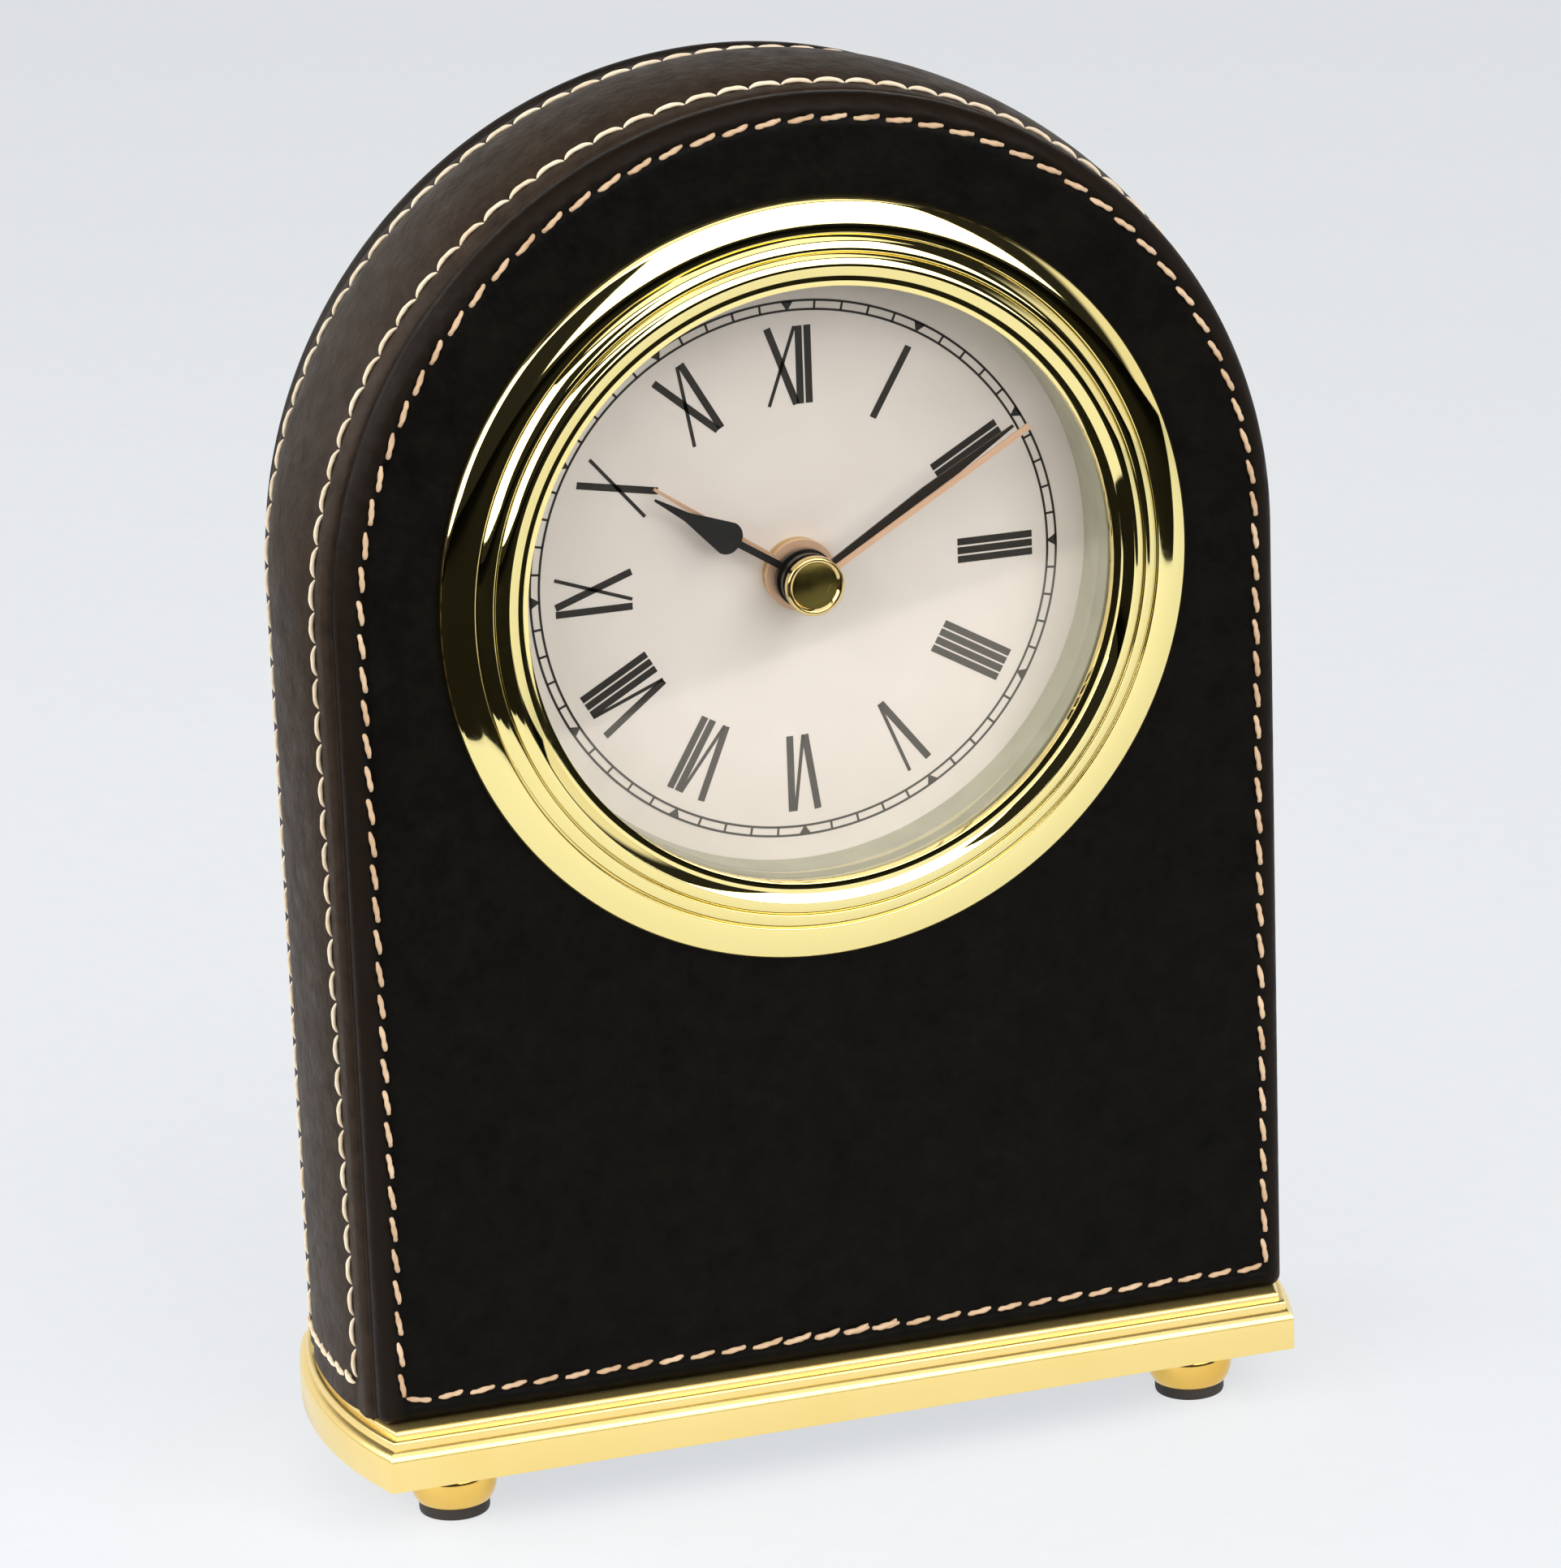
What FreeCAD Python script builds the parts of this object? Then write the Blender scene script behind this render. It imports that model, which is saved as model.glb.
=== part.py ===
import FreeCAD, Part
import math
import os
import Sketcher

# Arched, leather-covered shelf clock with an alarm, on a moulded metal base.
# Z is up, the dial faces -Y, and the origin is the middle of the part's box on the ground.
# Lengths are in millimetres, and depths are measured from the leather face of the case backwards.

SIZES = {
    # Feet and their pads
    "pad_diameter": 8.4,
    "pad_thickness": 1.4,
    "foot_diameter": 10.4,
    "foot_height": 5.8,
    "foot_top_diameter": 7.6,
    "foot_side_inset": 13.6,
    "foot_inset": 9.8,
    "foot_bore_diameter": 3.2,
    "foot_counterbore_diameter": 6.0,
    "foot_counterbore_depth": 2.6,
    # Screws that hold the feet, the case, the dial and the movement cover
    "foot_screw_diameter": 3.0,
    "foot_screw_length": 8.0,
    "foot_screw_head_diameter": 5.6,
    "foot_screw_head_height": 2.0,
    "case_screw_diameter": 3.0,
    "case_screw_length": 7.0,
    "case_screw_head_diameter": 5.6,
    "case_screw_head_height": 2.0,
    "case_screw_inset": 21.5,
    "ring_screw_diameter": 2.0,
    "ring_screw_length": 3.6,
    "ring_screw_head_diameter": 3.8,
    "ring_screw_head_height": 1.2,
    "cover_screw_diameter": 1.8,
    "cover_screw_length": 5.0,
    "cover_screw_sink_depth": 7.5,
    "cover_screw_head_diameter": 3.4,
    "cover_screw_head_height": 1.0,
    "screw_clearance": 0.1,
    # Base
    "base_side_overhang": 1.4,
    "base_depth": 41.6,
    "base_overhang": 2.8,
    "block_height": 5.1,
    "block_rounding": 1.5,
    "bead_height": 0.95,
    "bead_inset": 0.95,
    "bead_rounding": 0.4,
    "step_height": 0.95,
    "step_inset": 1.75,
    "step_rounding": 0.6,
    "base_wall": 2.0,
    "recess_depth": 3.9,
    "base_boss_diameter": 9.0,
    "base_cover_thickness": 1.2,
    "cover_gap": 0.1,
    # Case
    "dial_height": 110.0,
    "case_half_width": 58.8,
    "case_depth": 35.0,
    "bulge_radius": 62.0,
    "side_arch_drop": 1.0,
    "panel_inset": 2.3,
    "panel_depth": 3.4,
    "panel_rounding": 2.0,
    "leather_thickness": 0.9,
    "seam_width": 0.5,
    "frame_thickness": 7.3,
    "bottom_board_thickness": 5.0,
    "back_opening_width": 64.0,
    "back_opening_rounding": 8.0,
    # Bezel, lens, inner ring and dial
    "bezel_margin": 11.5,
    "outer_ring_width": 4.1,
    "outer_ring_rise": 3.9,
    "outer_ring_radius": 2.4,
    "middle_ring_width": 1.9,
    "middle_ring_rise": 4.15,
    "middle_ring_radius": 1.15,
    "inner_ring_width": 1.6,
    "inner_ring_rise": 4.4,
    "inner_ring_radius": 1.0,
    "slope_width": 1.1,
    "slope_foot_rise": 2.95,
    "lip_rise": 2.73,
    "lip_thickness": 1.0,
    "lip_width": 1.12,
    "lens_overlap": 2.82,
    "lens_thickness": 1.5,
    "inner_wall_inset": 0.32,
    "skirt_thickness": 2.8,
    "skirt_clearance": 0.1,
    "dial_depth": 7.7,
    "dial_thickness": 0.5,
    "dial_overlap": 2.0,
    "dial_hole_diameter": 7.2,
    "dial_drop": 0.7,
    # Ring that holds the dial and the bezel to the front board
    "retainer_overhang": 3.0,
    "retainer_gap": 0.2,
    "retainer_thickness": 1.0,
    "retainer_overlap": 2.2,
    # Movement housing
    "movement_gap": 0.1,
    "washer_diameter": 30.0,
    "movement_width": 55.0,
    "movement_depth": 16.5,
    "movement_rounding": 5.0,
    "movement_wall": 1.2,
    "front_case_depth": 7.0,
    "housing_gap": 0.05,
    "bay_ceiling_distance": 11.2,
    "cover_screw_spacing": 45.0,
    "cover_screw_low_distance": 8.0,
    "cover_post_diameter": 5.0,
    "bush_diameter": 7.0,
    "bush_bore_diameter": 5.3,
    "bush_flange_diameter": 11.0,
    "bush_flange_thickness": 0.7,
    "bush_rise": 0.9,
    "dial_nut_diameter": 8.2,
    # Nested pipes and arbor of the hands
    "second_arbor_diameter": 0.9,
    "minute_pipe_bore_diameter": 1.2,
    "minute_pipe_diameter": 2.2,
    "hour_pipe_bore_diameter": 2.6,
    "hour_pipe_diameter": 3.5,
    "alarm_pipe_bore_diameter": 3.9,
    "alarm_pipe_diameter": 4.9,
    # Layers of the movement, measured back from the front of its housing
    "alarm_wheel_depth": 2.3,
    "hour_wheel_depth": 3.6,
    "motion_wheel_depth": 5.2,
    "middle_plate_depth": 6.4,
    "centre_wheel_depth": 7.6,
    "third_wheel_depth": 9.0,
    "second_wheel_depth": 10.4,
    "intermediate_wheel_depth": 11.6,
    "rear_plate_depth": 13.0,
    "wheel_thickness": 0.6,
    "pinion_thickness": 1.0,
    "plate_thickness": 0.8,
    "wheel_arbor_diameter": 0.8,
    "arbor_clearance": 0.1,
    "layer_clearance": 0.2,
    "pillar_diameter": 2.4,
    "pillar_distance": 16.0,
    "rear_plate_half_width": 19.0,
    "rear_plate_low_distance": 9.0,
    "rear_plate_high_distance": 21.0,
    "motion_post_diameter": 1.0,
    "motion_hub_diameter": 2.4,
    "clutch_collar_diameter": 3.2,
    "clutch_clearance": 0.05,
    "second_hub_diameter": 2.0,
    # Centre distances of the wheel pairs
    "motion_distance": 8.4,
    "setting_distance": 8.4,
    "third_distance": 9.0,
    "intermediate_distance": 8.75,
    "rotor_distance": 6.0,
    "alarm_distance": 10.5,
    # Motor and electrics
    "magnet_diameter": 3.6,
    "magnet_thickness": 1.2,
    "stator_depth": 9.4,
    "stator_thickness": 0.8,
    "stator_bore_diameter": 4.6,
    "stator_margin_width": 1.2,
    "stator_leg_width": 1.6,
    "stator_stud_diameter": 2.0,
    "stator_stud_distance": 5.5,
    "coil_side_distance": 21.0,
    "coil_height": 9.6,
    "coil_depth": 9.8,
    "coil_diameter": 5.0,
    "coil_length": 15.0,
    "coil_gap": 0.3,
    "coil_core_diameter": 1.6,
    "circuit_width": 20.0,
    "circuit_height": 11.0,
    "circuit_thickness": 0.7,
    "circuit_left_distance": 14.0,
    "circuit_low_height": 8.5,
    "crystal_diameter": 1.4,
    "crystal_length": 6.0,
    "crystal_inset": 7.0,
    "buzzer_diameter": 17.0,
    "buzzer_thickness": 0.5,
    "buzzer_side_distance": 12.5,
    "buzzer_height": 14.0,
    "sound_hole_diameter": 1.6,
    "sound_circle_diameter": 8.0,
    "battery_diameter": 14.0,
    "battery_length": 49.5,
    "battery_button_diameter": 5.5,
    "battery_button_length": 1.0,
    "battery_drop": 18.3,
    "battery_clearance": 0.1,
    "contact_thickness": 0.4,
    "contact_width": 8.0,
    "contact_height": 6.4,
    "contact_spring_diameter": 3.0,
    # Knobs and the alarm switch
    "set_knob_diameter": 11.0,
    "alarm_knob_diameter": 10.0,
    "knob_height": 4.6,
    "knob_gap": 0.5,
    "knob_stem_diameter": 1.8,
    "knob_bore_depth": 3.0,
    "knob_flute_diameter": 1.4,
    "switch_width": 5.0,
    "switch_thumb_height": 4.0,
    "switch_rise": 1.6,
    "switch_stem_width": 2.0,
    "switch_foot_thickness": 0.6,
    "switch_travel_length": 4.0,
    "switch_side_distance": 20.0,
    "switch_height": 6.0,
    "switch_clearance": 0.25,
    # Hands, measured from the dial's face forwards
    "alarm_hand_rise": 1.7,
    "hour_hand_rise": 3.3,
    "minute_hand_rise": 4.9,
    "second_hand_rise": 6.15,
    "hand_thickness": 0.25,
    "collet_length": 0.45,
    "alarm_hand_margin": 14.08,
    "alarm_disc_diameter": 8.4,
    "alarm_pointer_width": 1.1,
    "alarm_tip_width": 0.35,
    "hour_hand_margin": 14.18,
    "hour_collet_diameter": 7.0,
    "hour_neck_width": 0.85,
    "hour_drop_width": 3.9,
    "hour_tip_start_width": 1.1,
    "hour_tip_width": 0.3,
    "minute_hand_margin": 5.48,
    "minute_collet_diameter": 6.6,
    "minute_root_width": 1.05,
    "minute_middle_width": 1.5,
    "minute_tip_width": 0.3,
    "second_hand_margin": 4.08,
    "second_hand_width": 0.6,
    "second_tip_width": 0.8,
    "second_collet_diameter": 2.6,
    "cap_diameter": 7.0,
    "cap_height": 1.0,
    "cap_rim_width": 0.45,
    "cap_dish_depth": 0.25,
    "cap_bore_depth": 0.45,
    # Shared
    "overrun": 2.0,
}

# Tooth counts of the wheels and pinions
SECOND_WHEEL_TEETH = 60
SECOND_PINION_TEETH = 8
THIRD_WHEEL_TEETH = 60
THIRD_PINION_TEETH = 8
CENTRE_WHEEL_TEETH = 64
INTERMEDIATE_WHEEL_TEETH = 40
INTERMEDIATE_PINION_TEETH = 10
ROTOR_PINION_TEETH = 8
MINUTE_GEAR_TEETH = 12
MOTION_WHEEL_TEETH = 36
MOTION_PINION_TEETH = 12
HOUR_WHEEL_TEETH = 48
SETTING_PINION_TEETH = 12
ALARM_WHEEL_TEETH = 48
ALARM_PINION_TEETH = 12

# Directions between arbors, in degrees from +X towards +Z
THIRD_DIRECTION = 120.0
INTERMEDIATE_DIRECTION = 40.0
ROTOR_DIRECTION = 20.0
MOTION_DIRECTION = -20.0
SETTING_DIRECTION = 0.0
ALARM_DIRECTION = 200.0

# Where the hands point, in degrees clockwise from twelve
SECOND_HAND_ANGLE = 59.5
MINUTE_HAND_ANGLE = 58.2
HOUR_HAND_ANGLE = 302.8
ALARM_HAND_ANGLE = 305.4

# Tooth form: shares of the module, and of the angle between two teeth
TOOTH_TOP_SHARE = 0.75
TOOTH_ROOT_SHARE = 1.15
TOOTH_TIP_WIDTH_SHARE = 0.14
TOOTH_FOOT_WIDTH_SHARE = 0.46

# Share of the foot's height at which its ball is widest
FOOT_WIDEST_SHARE = 0.52

# Shares of a hand's length: where the hour hand's drop starts, is widest and ends in the tip,
# and where the minute hand is widest
HOUR_DROP_START_SHARE = 0.44
HOUR_DROP_MIDDLE_SHARE = 0.52
HOUR_TIP_START_SHARE = 0.79
MINUTE_MIDDLE_SHARE = 0.57

KNOB_FLUTES = 16
SOUND_HOLES = 6
RING_SCREW_DIRECTIONS = (90.0, 210.0, 330.0)
PILLAR_DIRECTIONS = (85.0, 175.0, 332.0)

doc = FreeCAD.newDocument("shelf_clock")
sheet = doc.addObject("Spreadsheet::Sheet", "Sizes")
for row, (alias, number) in enumerate(SIZES.items(), start=1):
    sheet.set(f"A{row}", alias)
    sheet.set(f"B{row}", str(number))
    sheet.setAlias(f"B{row}", alias)
doc.recompute()


class Length:
    """A length: its value, and the expression that gives it from the sheet."""

    def __init__(self, value, text):
        self.value = value
        self.text = text

    def __add__(self, other):
        other = length(other)
        return Length(self.value + other.value, f"({self.text} + {other.text})")

    def __radd__(self, other):
        return length(other) + self

    def __sub__(self, other):
        other = length(other)
        return Length(self.value - other.value, f"({self.text} - {other.text})")

    def __rsub__(self, other):
        return length(other) - self

    def __mul__(self, other):
        other = length(other)
        return Length(self.value * other.value, f"({self.text} * {other.text})")

    def __rmul__(self, other):
        return length(other) * self

    def __truediv__(self, other):
        other = length(other)
        return Length(self.value / other.value, f"({self.text} / {other.text})")

    def __neg__(self):
        return Length(-self.value, f"(0 - {self.text})")

    def __float__(self):
        return float(self.value)


def length(thing):
    """Give a plain number the same form as a length."""
    if isinstance(thing, Length):
        return thing
    return Length(float(thing), repr(float(thing)))


def size(alias):
    """Read one length from the sheet."""
    return Length(float(sheet.get(alias)), f"Sizes.{alias}")


def root(thing):
    return Length(math.sqrt(thing.value), f"sqrt({thing.text})")


def polar(distance, degrees):
    """The X and Z steps of a distance in a direction from +X towards +Z."""
    angle = math.radians(degrees)
    return distance * math.cos(angle), distance * math.sin(angle)


def clockwise(distance, degrees):
    """The X and Z steps of a distance in a direction clockwise from twelve."""
    return polar(distance, 90.0 - degrees)


ORIGIN = (0, 0)
ZERO = length(0)
overrun = size("overrun")
parts = []


def keep(thing, name):
    """Name a sub-part and put it on the list of those that are written."""
    thing.Label = name
    parts.append(thing)
    return thing


def new_body(name):
    return keep(doc.addObject("PartDesign::Body", name), name)


def place(thing, x=0, y=0, z=0):
    """Bind a sub-part's place to its three lengths."""
    for axis, distance in (("x", x), ("y", y), ("z", z)):
        thing.setExpression(f"Placement.Base.{axis}", length(distance).text)


def new_sketch(body, role, offset=None):
    """A sketch on one of the body's origin planes, moved along its normal by the offset."""
    sketch = body.newObject("Sketcher::SketchObject", f"{body.Name}_sketch")
    planes = {feature.Role: feature for feature in body.Origin.OriginFeatures}
    sketch.AttachmentSupport = [(planes[role], "")]
    sketch.MapMode = "FlatFace"
    if offset is not None:
        sketch.setExpression("AttachmentOffset.Base.z", length(offset).text)
    return sketch


def tie(sketch, kind, distance, *points):
    """Add one dimension to the sketch and bind it to its length."""
    index = sketch.addConstraint(Sketcher.Constraint(kind, *points, length(distance).value))
    sketch.setExpression(f"Constraints[{index}]", length(distance).text)


def tie_point(sketch, geometry, vertex, x=None, y=None):
    """Hold a point of the sketch at its distances from the sketch's two axes."""
    for kind, axis, distance in (("DistanceX", -2, x), ("DistanceY", -1, y)):
        if distance is None:
            continue
        if abs(float(distance)) < 1e-9:
            sketch.addConstraint(Sketcher.Constraint("PointOnObject", geometry, vertex, axis))
        else:
            tie(sketch, kind, distance, -1, 1, geometry, vertex)


def circle(sketch, x, y, radius):
    """Draw a circle whose middle and radius are tied."""
    middle = FreeCAD.Vector(float(x), float(y), 0)
    index = sketch.addGeometry(Part.Circle(middle, FreeCAD.Vector(0, 0, 1), float(radius)))
    tie_point(sketch, index, 3, x, y)
    tie(sketch, "Radius", radius, index)


def arc_middle(start, end, bend):
    """The middle of the arc between two points, from its radius or one of its coordinates."""
    (x1, y1), (x2, y2) = start, end
    half_x, half_y = (x2 - x1) / 2, (y2 - y1) / 2
    if "radius" in bend:
        chord = math.hypot(half_x, half_y)
        away = math.sqrt(max(float(bend["radius"]) ** 2 - chord ** 2, 0.0)) / chord
        turn = bend["turn"]
        return x1 + half_x - turn * half_y * away, y1 + half_y + turn * half_x * away
    middle_x, middle_y = x1 + half_x, y1 + half_y
    if "middle_x" in bend:
        x = float(bend["middle_x"])
        return x, middle_y - (x - middle_x) * half_x / half_y
    y = float(bend["middle_y"])
    return middle_x - (y - middle_y) * half_y / half_x, y


def outline(sketch, points):
    """Draw a closed outline. A point is (x, y), and (x, y, bend) is reached by an arc.

    A bend has a turn, 1 for counter-clockwise and -1 for clockwise, and either its radius
    or one coordinate of its middle.
    """
    first = sketch.GeometryCount
    count = len(points)
    for index in range(count):
        start = (float(points[index][0]), float(points[index][1]))
        goal = points[(index + 1) % count]
        end = (float(goal[0]), float(goal[1]))
        start_vector = FreeCAD.Vector(*start, 0)
        end_vector = FreeCAD.Vector(*end, 0)
        if len(goal) == 2:
            sketch.addGeometry(Part.LineSegment(start_vector, end_vector))
            continue
        bend = goal[2]
        x, y = arc_middle(start, end, bend)
        first_angle = math.atan2(start[1] - y, start[0] - x)
        last_angle = math.atan2(end[1] - y, end[0] - x)
        if bend["turn"] < 0:
            first_angle, last_angle = last_angle, first_angle
        radius = math.hypot(start[0] - x, start[1] - y)
        ring = Part.Circle(FreeCAD.Vector(x, y, 0), FreeCAD.Vector(0, 0, 1), radius)
        sketch.addGeometry(Part.ArcOfCircle(ring, first_angle, last_angle))
    for index in range(count):
        goal = points[(index + 1) % count]
        geometry = first + index
        following = first + (index + 1) % count
        bend = goal[2] if len(goal) > 2 else None
        after = points[(index + 2) % count]
        end_vertex = 1 if bend and bend["turn"] < 0 else 2
        start_vertex = 2 if len(after) > 2 and after[2]["turn"] < 0 else 1
        meeting = Sketcher.Constraint("Coincident", geometry, end_vertex, following, start_vertex)
        sketch.addConstraint(meeting)
        tie_point(sketch, geometry, end_vertex, goal[0], goal[1])
        if bend and "radius" in bend:
            tie(sketch, "Radius", bend["radius"], geometry)
        elif bend and "middle_x" in bend:
            tie_point(sketch, geometry, 3, x=bend["middle_x"])
        elif bend:
            tie_point(sketch, geometry, 3, y=bend["middle_y"])


def extrude(body, sketch, distance, backwards=False, cut=False):
    """Pad the sketch, or cut it out, along its normal or against it."""
    feature = body.newObject("PartDesign::Pocket" if cut else "PartDesign::Pad", f"{body.Name}_run")
    feature.Profile = sketch
    feature.setExpression("Length", length(distance).text)
    feature.Reversed = backwards != cut
    doc.recompute()
    return feature


def spin(body, sketch, degrees=360.0, backwards=False, cut=False):
    """Turn the sketch about its own vertical axis, to add or to cut."""
    feature = body.newObject("PartDesign::Groove" if cut else "PartDesign::Revolution", f"{body.Name}_turn")
    feature.Profile = sketch
    feature.ReferenceAxis = (sketch, ["V_Axis"])
    feature.Angle = degrees
    feature.Reversed = backwards
    doc.recompute()
    return feature


def round_edges(body, radius, chosen):
    """Round the edges of the body's last feature for which chosen(edge) is true."""
    base = body.Tip
    names = [f"Edge{number}" for number, edge in enumerate(base.Shape.Edges, start=1) if chosen(edge)]
    feature = body.newObject("PartDesign::Fillet", f"{body.Name}_rounding")
    feature.Base = (base, names)
    feature.setExpression("Radius", length(radius).text)
    doc.recompute()
    return feature


def turned(name, profile, x=0, y=0, z=0):
    """A piece turned about an axis along Y. The profile's points are (radius, depth)."""
    body = new_body(name)
    sketch = new_sketch(body, "XY_Plane")
    outline(sketch, profile)
    spin(body, sketch)
    place(body, x, y, z)
    return body


def tube_profile(inner, outer, start, end):
    return [(inner, start), (outer, start), (outer, end), (inner, end)]


def draw(sketch, loops):
    """Draw each loop: a list of points, or one circle as (x, y, radius)."""
    for loop in loops:
        if isinstance(loop, list):
            outline(sketch, loop)
        else:
            circle(sketch, *loop)


def slab(body, start, end, *loops, cut=False):
    """Add, or cut out, what the upright loops enclose between two depths of the body."""
    sketch = new_sketch(body, "XZ_Plane", -length(start))
    draw(sketch, loops)
    return extrude(body, sketch, end - start, backwards=True, cut=cut)


def storey(body, low, high, *loops, cut=False):
    """Add, or cut out, what the level loops enclose between two heights of the body."""
    sketch = new_sketch(body, "XY_Plane", low)
    draw(sketch, loops)
    return extrude(body, sketch, high - low, backwards=False, cut=cut)


def rectangle(half_width, low, high):
    return [(-half_width, low), (half_width, low), (half_width, high), (-half_width, high)]


def rounded_square(half, radius, x=0, z=0):
    """A square with rounded corners about a point, drawn counter-clockwise."""
    x, z = length(x), length(z)
    flat = half - radius
    points = []
    for side_x, side_z in ((1, -1), (1, 1), (-1, 1), (-1, -1)):
        across = (x + side_x * flat, z + side_z * half)
        along = (x + side_x * half, z + side_z * flat)
        before, after = (across, along) if side_x * side_z < 0 else (along, across)
        points.append(before)
        points.append((after[0], after[1], {"turn": 1, "middle_x": x + side_x * flat}))
    return points


def mirrored(points):
    """The same outline on the other side of the sketch's vertical axis."""
    turned_over = []
    for x, y, *bend in points:
        if bend:
            bend = [dict(bend[0], turn=-bend[0]["turn"])]
        turned_over.append((-x, y, *bend))
    return turned_over


def level_edges(height):
    """Choose the edges that lie at one height."""
    level = float(height)
    return lambda edge: max(abs(edge.BoundBox.ZMin - level), abs(edge.BoundBox.ZMax - level)) < 1e-4


def edges_at_depth(depth):
    """Choose the edges that lie at one depth."""
    level = float(depth)
    return lambda edge: max(abs(edge.BoundBox.YMin - level), abs(edge.BoundBox.YMax - level)) < 1e-4


# Levels and depths that the pieces share
base_bottom = size("pad_thickness") + size("foot_height")
cover_top = base_bottom + size("base_cover_thickness")
block_top = base_bottom + size("block_height")
bead_top = block_top + size("bead_height")
base_top = bead_top + size("step_height")
dial_height = size("dial_height")
arch_height = dial_height - size("side_arch_drop")
movement_height = dial_height - size("dial_drop")
leather = size("leather_thickness")
panel_depth = size("panel_depth")
case_depth = size("case_depth")
side_front = panel_depth + size("seam_width")
side_back = case_depth - side_front
case_half_width = size("case_half_width")
base_radius = case_half_width + size("base_side_overhang")
frame_inner = case_half_width - size("frame_thickness")
panel_half_width = case_half_width - size("panel_inset")
bezel_radius = panel_half_width - size("bezel_margin")
first_valley = bezel_radius - size("outer_ring_width")
second_valley = first_valley - size("middle_ring_width")
slope_top = second_valley - size("inner_ring_width")
slope_foot = slope_top - size("slope_width")
opening_radius = slope_foot - size("lip_width")
lens_radius = opening_radius + size("lens_overlap")
skirt_radius = lens_radius + size("skirt_thickness")
dial_radius = lens_radius + size("dial_overlap")
face_y = (size("inner_ring_rise") - size("base_depth") + size("base_overhang")) / 2
base_front = face_y - size("base_overhang")
base_middle = base_front + size("base_depth") / 2
dial_face = size("dial_depth")
dial_back = dial_face + size("dial_thickness")
washer_thickness = size("retainer_thickness") + size("movement_gap")
movement_depth = dial_back + washer_thickness
movement_y = face_y + movement_depth
screw_clearance = size("screw_clearance")


# Feet and pads
foot_x = base_radius - size("foot_side_inset")
foot_y = size("base_depth") / 2 - size("foot_inset")
foot_places = {
    "front_left": (-foot_x, -foot_y),
    "front_right": (foot_x, -foot_y),
    "rear_left": (-foot_x, foot_y),
    "rear_right": (foot_x, foot_y),
}


def make_foot(corner, x, y):
    """A squashed ball with a flat top and bottom, bored for its screw."""
    bottom = size("pad_thickness")
    widest = bottom + FOOT_WIDEST_SHARE * size("foot_height")
    seat = bottom + size("foot_counterbore_depth")
    bore = size("foot_bore_diameter") / 2
    head_bore = size("foot_counterbore_diameter") / 2
    profile = [
        (head_bore, bottom),
        (size("pad_diameter") / 2, bottom),
        (size("foot_diameter") / 2, widest, {"turn": 1, "middle_y": widest}),
        (size("foot_top_diameter") / 2, base_bottom, {"turn": 1, "middle_y": widest}),
        (bore, base_bottom),
        (bore, seat),
        (head_bore, seat),
    ]
    foot = new_body(f"ball_foot_{corner}")
    sketch = new_sketch(foot, "XZ_Plane")
    outline(sketch, profile)
    spin(foot, sketch)
    place(foot, x, base_middle + y)


def make_pad(corner, x, y):
    """A rubber disc under one foot."""
    pad = new_body(f"foot_pad_{corner}")
    storey(pad, ZERO, size("pad_thickness"), (0, 0, size("pad_diameter") / 2))
    place(pad, x, base_middle + y)


for corner, (x, y) in foot_places.items():
    make_foot(corner, x, y)
    make_pad(corner, x, y)


# Screws, each kind as one group of solids
def make_screws(name, kind, heads, upwards):
    """Screws of one kind. Each head starts at its place, and the shank runs up or forwards."""
    head_height = size(f"{kind}_screw_head_height")
    screws = []
    for x, y, z in heads:
        after = (x, y, z + head_height) if upwards else (x, y - head_height, z)
        pieces = []
        for spot, diameter, run in (
            ((x, y, z), size(f"{kind}_screw_head_diameter"), head_height),
            (after, size(f"{kind}_screw_diameter"), size(f"{kind}_screw_length")),
        ):
            cylinder = doc.addObject("Part::Cylinder", f"{kind}_screw_piece")
            cylinder.setExpression("Radius", (diameter / 2).text)
            cylinder.setExpression("Height", run.text)
            if not upwards:
                cylinder.Placement = FreeCAD.Placement(
                    FreeCAD.Vector(), FreeCAD.Rotation(FreeCAD.Vector(1, 0, 0), 90)
                )
            place(cylinder, *spot)
            pieces.append(cylinder)
        screw = doc.addObject("Part::Fuse", f"{kind}_screw")
        screw.Base, screw.Tool = pieces
        screws.append(screw)
    group = doc.addObject("Part::Compound", name)
    group.Links = screws
    keep(group, name)


foot_screw_start = size("pad_thickness") + size("foot_counterbore_depth") - size("foot_screw_head_height")
make_screws(
    "foot_screws",
    "foot",
    [(x, base_middle + y, foot_screw_start) for x, y in foot_places.values()],
    upwards=True,
)
case_screw_x = frame_inner - size("case_screw_inset")
case_middle = face_y + case_depth / 2
make_screws(
    "case_screws",
    "case",
    [(side * case_screw_x, case_middle, cover_top) for side in (-1, 1)],
    upwards=True,
)


# Moulded metal base, hollow underneath, and the cover that closes it
def base_plan(inset):
    """Straight front and back, joined by the arcs of one circle, all moved inwards."""
    half_depth = size("base_depth") / 2 - inset
    radius = base_radius - inset
    half_width = root(radius * radius - half_depth * half_depth)
    return [
        (-half_width, -half_depth, {"turn": 1, "radius": radius}),
        (half_width, -half_depth),
        (half_width, half_depth, {"turn": 1, "radius": radius}),
        (-half_width, half_depth),
    ]


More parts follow.
